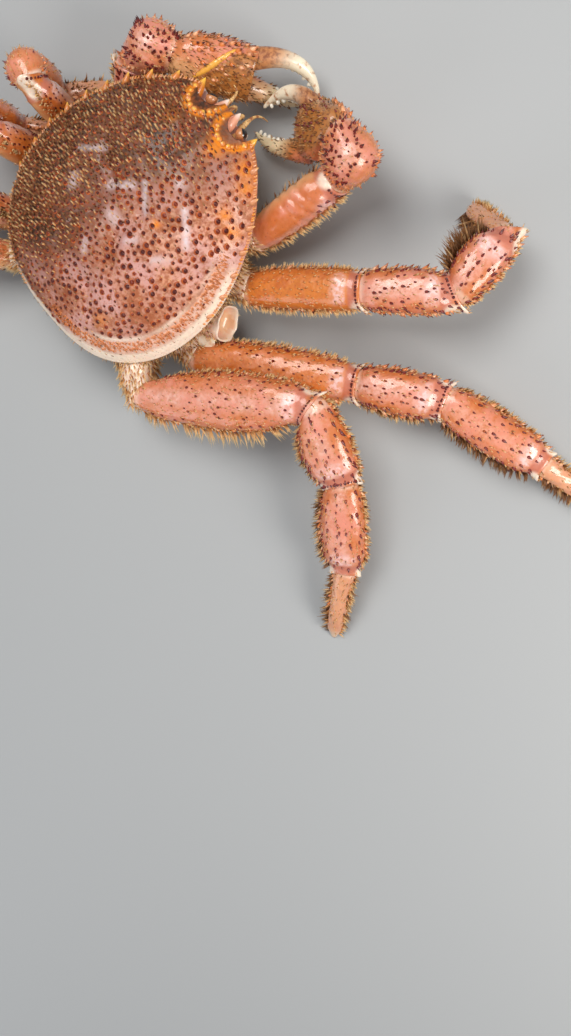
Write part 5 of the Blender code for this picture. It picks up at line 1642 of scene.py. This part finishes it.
# Thorns of the limbs
# Short, stout thorns of the shell itself lean towards the tip in rows along every tube, pink or
# orange at the root and nearly black at the point. Small dark ones edge each joint's lip.
# Rows of thorns: degrees round the tube, first and last share along it, number, length
LEG_ROWS = {
    "merus": (
        (6, 0.10, 0.90, 18, 0.0015), (24, 0.12, 0.90, 18, 0.0014), (42, 0.16, 0.90, 15, 0.0012),
        (66, 0.30, 0.88, 11, 0.0012), (92, 0.34, 0.88, 10, 0.0012), (118, 0.26, 0.88, 12, 0.0012),
        (172, 0.10, 0.90, 15, 0.0015), (146, 0.16, 0.90, 14, 0.0012),
    ),
    "carpus": (
        (6, 0.12, 0.90, 12, 0.0018), (38, 0.10, 0.94, 13, 0.0022), (62, 0.20, 0.90, 8, 0.0012),
        (90, 0.10, 0.92, 12, 0.0016), (116, 0.20, 0.90, 9, 0.0013), (142, 0.10, 0.94, 14, 0.0022),
        (174, 0.12, 0.90, 12, 0.0017), (340, 0.2, 0.85, 8, 0.0013), (196, 0.2, 0.88, 10, 0.0016),
    ),
    "propodus": (
        (6, 0.10, 0.90, 13, 0.0018), (38, 0.10, 0.92, 12, 0.0019), (66, 0.18, 0.90, 8, 0.0013),
        (96, 0.10, 0.92, 12, 0.0015), (124, 0.18, 0.90, 9, 0.0015), (148, 0.10, 0.92, 13, 0.0020),
        (174, 0.10, 0.90, 12, 0.0019), (340, 0.2, 0.85, 8, 0.0013), (196, 0.2, 0.85, 9, 0.0016),
    ),
    "dactyl": ((12, 0.08, 0.55, 8, 0.0012), (168, 0.08, 0.60, 8, 0.0016)),
}
PALM_ROWS = (
    (100, 0.2, 0.85, 10, 0.0013), (125, 0.15, 0.9, 10, 0.0014), (150, 0.12, 0.9, 10, 0.0015),
    (180, 0.12, 0.9, 10, 0.0019), (210, 0.12, 0.9, 10, 0.0017), (235, 0.15, 0.9, 10, 0.0015),
    (255, 0.2, 0.85, 9, 0.0014), (75, 0.2, 0.6, 5, 0.0012), (280, 0.2, 0.6, 5, 0.0012),
)
ARM_ROWS = (
    (60, 0.72, 0.93, 4, 0.0022), (120, 0.72, 0.93, 4, 0.0022), (200, 0.5, 0.93, 7, 0.0024),
    (90, 0.80, 0.93, 3, 0.0018), (160, 0.7, 0.93, 4, 0.0018),
)

thorn_finish = Finish("thorn", {"Coat Weight": 0.55, "Coat Roughness": 0.14})
tip = thorn_finish.attribute("tip")
shade = thorn_finish.attribute("shade")
root_tone = thorn_finish.mix(tone(244, 186, 140), tone(226, 126, 58), shade.step(0.0, 0.5))
root_tone = thorn_finish.mix(root_tone, tone(124, 34, 26), shade.step(0.6, 0.8))
point_tone = thorn_finish.mix(tone(196, 112, 62), tone(72, 12, 14), shade.step(0.1, 0.6))
ground = thorn_finish.mix(root_tone, point_tone, tip.step(0.25, 0.6))
thorn_finish.feed(Base_Color=ground, Roughness=0.4 - tip * 0.18)
thorn_form = form("thorn_form", 8, ((-0.35, 1.3), (0.06, 1.05), (0.4, 0.68), (0.75, 0.3)), 1.0, 0.3)


def chart_patch(at, turn):
    return np.stack((turn / 360, at), axis=-1)


def thorn_row(roots, limb, degrees, first, last, count, length, forward=0.9):
    """A row of thorns along a tube, each leaning towards its far end."""
    at = first + (last - first) * (np.arange(count) + rng.uniform(-0.42, 0.42, count)) / (count - 1)
    turn = degrees + rng.uniform(-9, 9, count)
    on_face = 20 < degrees < 160
    size = rng.uniform(0.5, 1.0, count) if on_face else rng.uniform(0.6, 1.4, count)
    shade = rng.uniform(0.7, 1.0, count) if on_face else rng.uniform(0, 0.62, count)
    at = np.clip(at, 0.04, 0.96)
    lie = limb.normals(at, turn) + limb.line(at)[1] * (forward + 0.1 * on_face)
    thick = (0.00026 + 0.17 * length) * size
    roots.add(limb.surface(at, turn), lie, thick, length * size, chart_patch(at, turn), shade)


def lip_row(roots, limb, first, last, step=11.0):
    """The dark beads that edge the lip of a joint."""
    turn = np.arange(first, last, step)
    turn = turn + rng.uniform(-3, 3, len(turn))
    at = np.full(len(turn), 1 - 0.0011 / limb.length)
    size = rng.uniform(0.00042, 0.00062, len(turn))
    lie = limb.normals(at, turn) + limb.end_plane * 0.6
    roots.add(limb.surface(at, turn), lie, size, size * 1.6, chart_patch(at, turn), 0.8)


def roots_on(thing, spacing):
    """Places spread over a skin about as far apart as given, with the way the skin faces there."""
    mesh = thing.data
    mesh.calc_loop_triangles()
    corners = np.empty(len(mesh.loop_triangles) * 3, int)
    mesh.loop_triangles.foreach_get("vertices", corners)
    corners = corners.reshape(-1, 3)
    spots = vertices_of(thing)
    ways = np.empty(len(mesh.vertices) * 3)
    mesh.vertices.foreach_get("normal", ways)
    ways = ways.reshape(-1, 3)
    first, second, third = (spots[corners[:, index]] for index in range(3))
    areas = np.linalg.norm(np.cross(second - first, third - first), axis=1)
    count = int(areas.sum() / spacing**2 * 2)
    picked = corners[rng.choice(len(corners), count, p=areas / areas.sum())]
    shares = rng.dirichlet((1, 1, 1), count)[..., None]
    places = (spots[picked] * shares).sum(axis=1)
    cells = np.floor(places / spacing).astype(int)
    kept = np.unique(cells, axis=0, return_index=True)[1]
    return places[kept], unit((ways[picked[kept]] * shares[kept]).sum(axis=1))


def knuckle_thorns(roots, thing, centre, planes, spacing, length, clear):
    """Thorns all over a knuckle but for its joint faces and its underside."""
    places, ways = roots_on(thing, spacing)
    out = unit(places - centre)
    facing = np.max(np.abs(out @ np.array(planes).T), axis=1)
    keep = (facing < clear) & (out[:, 2] > -0.35)
    places, ways, out = places[keep], ways[keep], out[keep]
    size = rng.uniform(0.5, 1.1, len(places))
    shade = np.where(out[:, 2] > 0.25, 0.8, rng.uniform(0, 0.6, len(places)))
    ahead = planes[0] * 0.5
    patch = np.stack((np.arctan2(out[:, 1], out[:, 0]) / 6.3 + 0.5, out[:, 2] / 2 + 0.5), axis=-1)
    thick = (0.00026 + 0.17 * length) * size
    roots.add(places, ways + out * 0.4 + ahead, thick, length * size, patch, shade)


for name, leg in LEGS.items():
    thorns = Roots()
    folded = "knuckle" in leg
    for part in LEG_PARTS[1:]:
        node = name + "_" + part
        limb = LIMBS[node]
        if part == "carpus" and folded:
            planes = (limb.start_plane, limb.end_plane)
            centre = place(*leg["knuckle"])
            knuckle_thorns(thorns, SKINS[node], centre, planes, 0.0032, 0.0015, 0.62)
            continue
        for degrees, first, last, count, length in LEG_ROWS[part]:
            on_face = 20 < degrees < 160
            if on_face and (node == "leg_R1_merus" or folded and part == "propodus"):
                continue
            if folded and part == "merus":
                length = 0.7 * length
                last = 0.80 if degrees < 90 else 0.45
            thorn_row(thorns, limb, degrees, first, last, count, length)
        if part in ("merus", "carpus"):
            lip_row(thorns, limb, 14, 166)
    thorns.plant(name + "_thorns", thorn_form, thorn_finish.material, "limb")

for name, arm in ARMS.items():
    thorns = Roots()
    merus, palm = LIMBS[name + "_merus"], LIMBS[name + "_palm"]
    planes = (merus.end_plane, palm.start_plane)
    centre = place(*arm["knuckle"])
    knuckle_thorns(thorns, SKINS[name + "_carpus"], centre, planes, 0.0022, 0.0019, 0.84)
    for row in ARM_ROWS:
        thorn_row(thorns, merus, *row)
    for row in PALM_ROWS:
        thorn_row(thorns, palm, *row)
    lip_row(thorns, merus, 30, 220)
    thorns.plant(name + "_thorns", thorn_form, thorn_finish.material, "limb")

# Bristles
# The crab's name comes from them: short, stiff golden brown bristles in small bunches over the
# shell and all limbs, leaning forward or towards the tip, with long fringes along the legs' edges.
BRISTLE_SIDES = 3
BUNCH = 4


def bunch_form(name, count, spread, seed, parting=2.0):
    """A bunch of thin bristles that part or meet towards their tips. Its height is 1."""
    ways = np.random.default_rng(seed)
    shape = bmesh.new()
    tips = []
    turns = np.linspace(0, 2 * math.pi, BRISTLE_SIDES, endpoint=False)
    for index in range(count):
        angle = 2 * math.pi * index / count + ways.uniform(-0.5, 0.5)
        out = np.array((math.cos(angle), math.sin(angle)))
        base = out * spread * ways.uniform(0.3, 0.7)
        end = out * spread * ways.uniform(0.2, 0.7) * parting + ways.uniform(-1, 1, 2) * spread * 0.3
        high = ways.uniform(0.65, 1.0)
        rings = []
        for share, radius in ((-0.1, 1.0), (0.5, 0.72)):
            middle = base + (end - base) * max(share, 0) ** 1.7
            ring = []
            for turn in turns:
                across = middle + radius * np.array((math.cos(turn), math.sin(turn)))
                ring.append(shape.verts.new((across[0], across[1], share * high)))
                tips.append(max(share, 0))
            rings.append(ring)
        top = shape.verts.new((end[0], end[1], high))
        tips.append(1.0)
        for corner in range(BRISTLE_SIDES):
            after = (corner + 1) % BRISTLE_SIDES
            low, up = rings
            shape.faces.new((low[corner], low[after], up[after], up[corner]))
            shape.faces.new((up[corner], up[after], top))
        shape.faces.new(list(reversed(rings[0])))
    bmesh.ops.recalc_face_normals(shape, faces=shape.faces)
    mesh = mesh_from(name, shape)
    mesh.shade_smooth()
    thing = add_object(name, mesh)
    set_attribute(thing, "tip", np.array(tips))
    spots = vertices_of(thing)
    reach = np.abs(spots[:, :2]).max() * 2
    set_attribute(thing, "own", spots * (1 / reach, 1 / reach, 0), "FLOAT_VECTOR")
    thing.hide_render = True
    thing.hide_viewport = True
    return thing


bristle_finish = Finish("bristle", {"Specular IOR Level": 0.6})
tip = bristle_finish.attribute("tip")
shade = bristle_finish.attribute("shade")
dark_tone = bristle_finish.mix(tone(76, 40, 16), tone(176, 116, 60), tip)
gold_tone = bristle_finish.mix(tone(228, 146, 70), tone(255, 230, 172), tip)
bristle_finish.feed(
    Base_Color=bristle_finish.mix(dark_tone, gold_tone, shade.step(0.2, 0.8)),
    Roughness=0.5 - shade * 0.1,
)
short_bunch = bunch_form("short_bunch", BUNCH, 2.6, 5, 1.4)
fringe_bunch = bunch_form("fringe_bunch", 5, 3.4, 9, 0.35)


def plate_bristle_gap(side, forward):
    return 0.0024 - 0.00118 * coat_share(side, forward)


spots = scatter(plate_bristle_gap, 42000, HALF_WIDTH, HALF_LENGTH * 1.03)
spots = spots[off_orbit(spots[:, 0], spots[:, 1])]
front, rear = spots[spots[:, 1] > 0], spots[spots[:, 1] <= 0]
for name, half in (("shell_coat_front", front), ("shell_coat_rear", rear)):
    coat = coat_share(*half.T)
    bristles = Roots()
    lean = unit(place(-1, 0.05, 0))
    lie = plate_normal(*half.T) * 0.55 + lean * rng.uniform(0.7, 1.1, (len(half), 1))
    lie += rng.normal(0, 0.07, lie.shape)
    shade = np.clip(rng.normal(0.42, 0.28, len(half)), 0, 1)
    long = rng.uniform(0.0016, 0.0024, len(half)) * (0.7 + 0.4 * coat)
    thick = 0.00008 + 0.00006 * coat
    bristles.add(plate_point(*half.T), lie, thick, long, plate_unwrap(*half.T), shade)
    bristles.plant(name, short_bunch, bristle_finish.material, "bristle")

# Fringe round the rear and the sides of the shell, under its rim
angle = np.radians(rng.uniform(60, 300, 900))
reach = rim_reach(angle) * rng.uniform(0.97, 1.0, len(angle))
roots = place(reach * np.sin(angle), reach * np.cos(angle), 0)
roots[:, 2] = rim_height(-roots[:, 1]) - rng.uniform(0.0002, 0.0032, len(angle))
lie = place(np.sin(angle), np.cos(angle), rng.uniform(-0.5, 0.2, len(angle)))
fringe = Roots()
unwrap = np.stack((angle / 6.3, roots[:, 2] * 30), axis=-1)
fringe.add(roots, lie, 0.00007, rng.uniform(0.0012, 0.0026, len(angle)), unwrap)
fringe.plant("shell_fringe", fringe_bunch, bristle_finish.material, "bristle")

# Fringes of the limbs: node, degrees, half width of the strip, number, length, shade
FRINGES = (
    ("leg_R4_merus", 184, 14, 110, 0.0072, 1.0), ("leg_R4_merus", 4, 12, 70, 0.0022, 0.8),
    ("leg_R3_merus", 4, 16, 110, 0.0028, 0.9), ("leg_R3_merus", 186, 16, 170, 0.0040, 0.9),
    ("leg_R1_merus", 4, 20, 100, 0.0028, 0.95), ("leg_R1_merus", 186, 20, 130, 0.0034, 0.75),
    ("leg_R1_propodus", 350, 30, 190, 0.0080, 0.0), ("leg_R1_dactyl", 350, 40, 170, 0.0074, 0.0),
    ("leg_R1_propodus", 180, 20, 60, 0.0024, 0.7), ("leg_R1_dactyl", 180, 40, 90, 0.0030, 0.7),
    ("leg_R3_propodus", 188, 26, 190, 0.0050, 0.1),
    ("leg_R3_propodus", 2, 14, 90, 0.0024, 0.4), ("leg_R3_carpus", 186, 18, 110, 0.0034, 0.35),
    ("leg_R3_dactyl", 190, 40, 130, 0.0048, 0.1), ("leg_R3_dactyl", 0, 40, 100, 0.0034, 0.4),
    ("leg_R4_carpus", 186, 20, 120, 0.0034, 0.5), ("leg_R4_carpus", 2, 16, 90, 0.0026, 0.5),
    ("leg_R4_propodus", 186, 26, 170, 0.0044, 0.3), ("leg_R4_propodus", 2, 16, 100, 0.0026, 0.4),
    ("leg_R4_dactyl", 190, 40, 130, 0.0044, 0.2), ("leg_R4_dactyl", 0, 40, 100, 0.0034, 0.4),
    ("leg_L3_merus", 4, 14, 120, 0.0030, 0.6), ("leg_L3_merus", 186, 14, 160, 0.0042, 0.6),
    ("leg_L3_propodus", 186, 24, 140, 0.0042, 0.3), ("leg_L3_propodus", 2, 20, 110, 0.0030, 0.4),
    ("leg_L3_dactyl", 186, 40, 110, 0.0042, 0.2), ("leg_L3_dactyl", 0, 40, 90, 0.0034, 0.4),
    ("leg_L4_merus", 4, 14, 140, 0.0030, 0.6), ("leg_L4_merus", 186, 14, 200, 0.0050, 0.7),
    ("leg_L4_propodus", 186, 24, 140, 0.0042, 0.3), ("leg_L4_propodus", 2, 20, 110, 0.0030, 0.4),
    ("leg_L4_dactyl", 186, 40, 110, 0.0042, 0.2), ("leg_L4_dactyl", 0, 40, 90, 0.0034, 0.4),
    ("leg_L1_merus", 4, 16, 90, 0.0026, 0.6), ("leg_L2_merus", 4, 16, 100, 0.0026, 0.6),
    ("leg_L1_dactyl", 0, 180, 90, 0.0034, 0.3), ("leg_L2_dactyl", 0, 180, 90, 0.0034, 0.3),
    ("arm_R_merus", 110, 26, 130, 0.0040, 0.95), ("arm_R_merus", 245, 24, 60, 0.0040, 0.2),
    ("arm_L_merus", 0, 24, 90, 0.0030, 0.6), ("arm_L_merus", 180, 24, 90, 0.0030, 0.6),
)
# Coat of each kind of tube: spacing, length, shade
COATS = {
    "coxa": (0.0015, 0.0050, 1.0), "merus": (0.0019, 0.0022, 0.9), "carpus": (0.0021, 0.0020, 0.9),
    "propodus": (0.0022, 0.0018, 0.85), "dactyl": (0.0021, 0.0016, 0.7), "palm": (0.0018, 0.0022, 0.35),
    "finger": (0.0024, 0.0014, 0.4), "stump": (0.0015, 0.0036, 1.0),
}


def coat_limb(bristles, node):
    """Short bristles over one tube, sparse on its upper face and close at its edges and below."""
    limb, skin = LIMBS[node], SKINS[node]
    part = node.rsplit("_", 1)[1]
    spacing, length, shade = COATS[part]
    places, ways = roots_on(skin, spacing)
    at, turn = limb.chart(places)
    to_end = (1 - at) * limb.length
    edge = np.abs(np.cos(np.radians(turn)))
    upper = ease(np.sin(np.radians(turn)), 0.2, 0.6)
    bare = (0.5 - 0.2 * (node == "leg_R1_merus")) * upper * (part in ("merus", "carpus", "propodus"))
    if part in ("palm", "finger"):
        outer = -ways @ unit(limb.inner)
        bare = 0.85 * ease(outer, -0.1, 0.3)
    smooth = at * 0
    if node == "arm_R_merus":
        smooth = ease(ways[:, 2], -0.2, 0.2)
    if node in ("leg_L1_merus", "leg_L2_merus"):
        smooth = 0.92 + at * 0
    tipward = ease(at, 0.55, 0.95) * (part in ("dactyl", "finger"))
    keep = rng.random(len(at)) > np.maximum.reduce((bare * (1 - edge**4), tipward, smooth))
    if part == "stump":
        keep &= (at < 0.86) & (np.sum(ways * unit(places - limb.line(at)[0]), axis=1) > 0.3)
    if part in ("merus", "carpus", "propodus"):
        keep &= ~((to_end < 0.0052) & (to_end > 0.0006) & (upper > 0.3))
    places, ways, at, turn = places[keep], ways[keep], at[keep], turn[keep]
    count = len(places)
    lie = ways * 0.55 + limb.line(at)[1] * rng.uniform(0.7, 1.2, (count, 1))
    lie += rng.normal(0, 0.2, (count, 3))
    shades = np.clip(rng.normal(shade, 0.25, count), 0, 1)
    long = length * rng.uniform(0.7, 1.2, count)
    thick = 0.00008 + 0.00003 * (part == "coxa")
    bristles.add(places, lie, thick, long, chart_patch(at, turn), shades)


def fringe_limb(fringe, node, degrees, spread, count, length, shade):
    """A fringe of long bristles along one edge of a tube."""
    limb = LIMBS[node]
    at = rng.uniform(0.06, 0.93, count)
    turn = degrees + rng.uniform(-1, 1, count) * spread
    lie = limb.normals(at, turn) + limb.line(at)[1] * rng.uniform(0.15, 0.8, (count, 1))
    lie += rng.normal(0, 0.14, (count, 3))
    long = length * rng.uniform(0.6, 1.1, count) * (0.7 + 0.3 * np.sin(at * math.pi))
    shades = np.clip(rng.normal(shade, 0.2, count), 0, 1)
    shades = np.where(shades > 0.3, np.minimum(shades + 0.2, 1), shades)
    fringe.add(limb.surface(at, turn), lie, 0.00014, long, chart_patch(at, turn), shades)


for limb_name in (*LEGS, *ARMS, "leg_R2"):
    bristles = Roots()
    for node in SKINS:
        if node.startswith(limb_name):
            coat_limb(bristles, node)
    bristles.plant(limb_name + "_coat", short_bunch, bristle_finish.material, "bristle")
    edges = [row for row in FRINGES if row[0].startswith(limb_name)]
    fringe = Roots()
    for row in edges:
        fringe_limb(fringe, *row)
    if edges:
        fringe.plant(limb_name + "_fringe", fringe_bunch, bristle_finish.material, "bristle")

# Hairs of the tail and the breast where they show behind the plate
belly_coat = Roots()
for skin, spacing in ((abdomen, 0.0016), (thorax, 0.0024)):
    places, ways = roots_on(skin, spacing)
    keep = (places[:, 2] > 0.003) & (places[:, 2] < 0.0155)
    places, ways = places[keep], ways[keep]
    count = len(places)
    lie = ways * 0.7 + np.array((0, 0, -0.6)) + rng.normal(0, 0.25, (count, 3))
    patch = places[:, :2] * 8 + 0.5
    long = rng.uniform(0.0014, 0.0026, count)
    belly_coat.add(places, lie, 0.00008, long, patch, rng.uniform(0.5, 1, count))
belly_coat.plant("belly_coat", short_bunch, bristle_finish.material, "bristle")
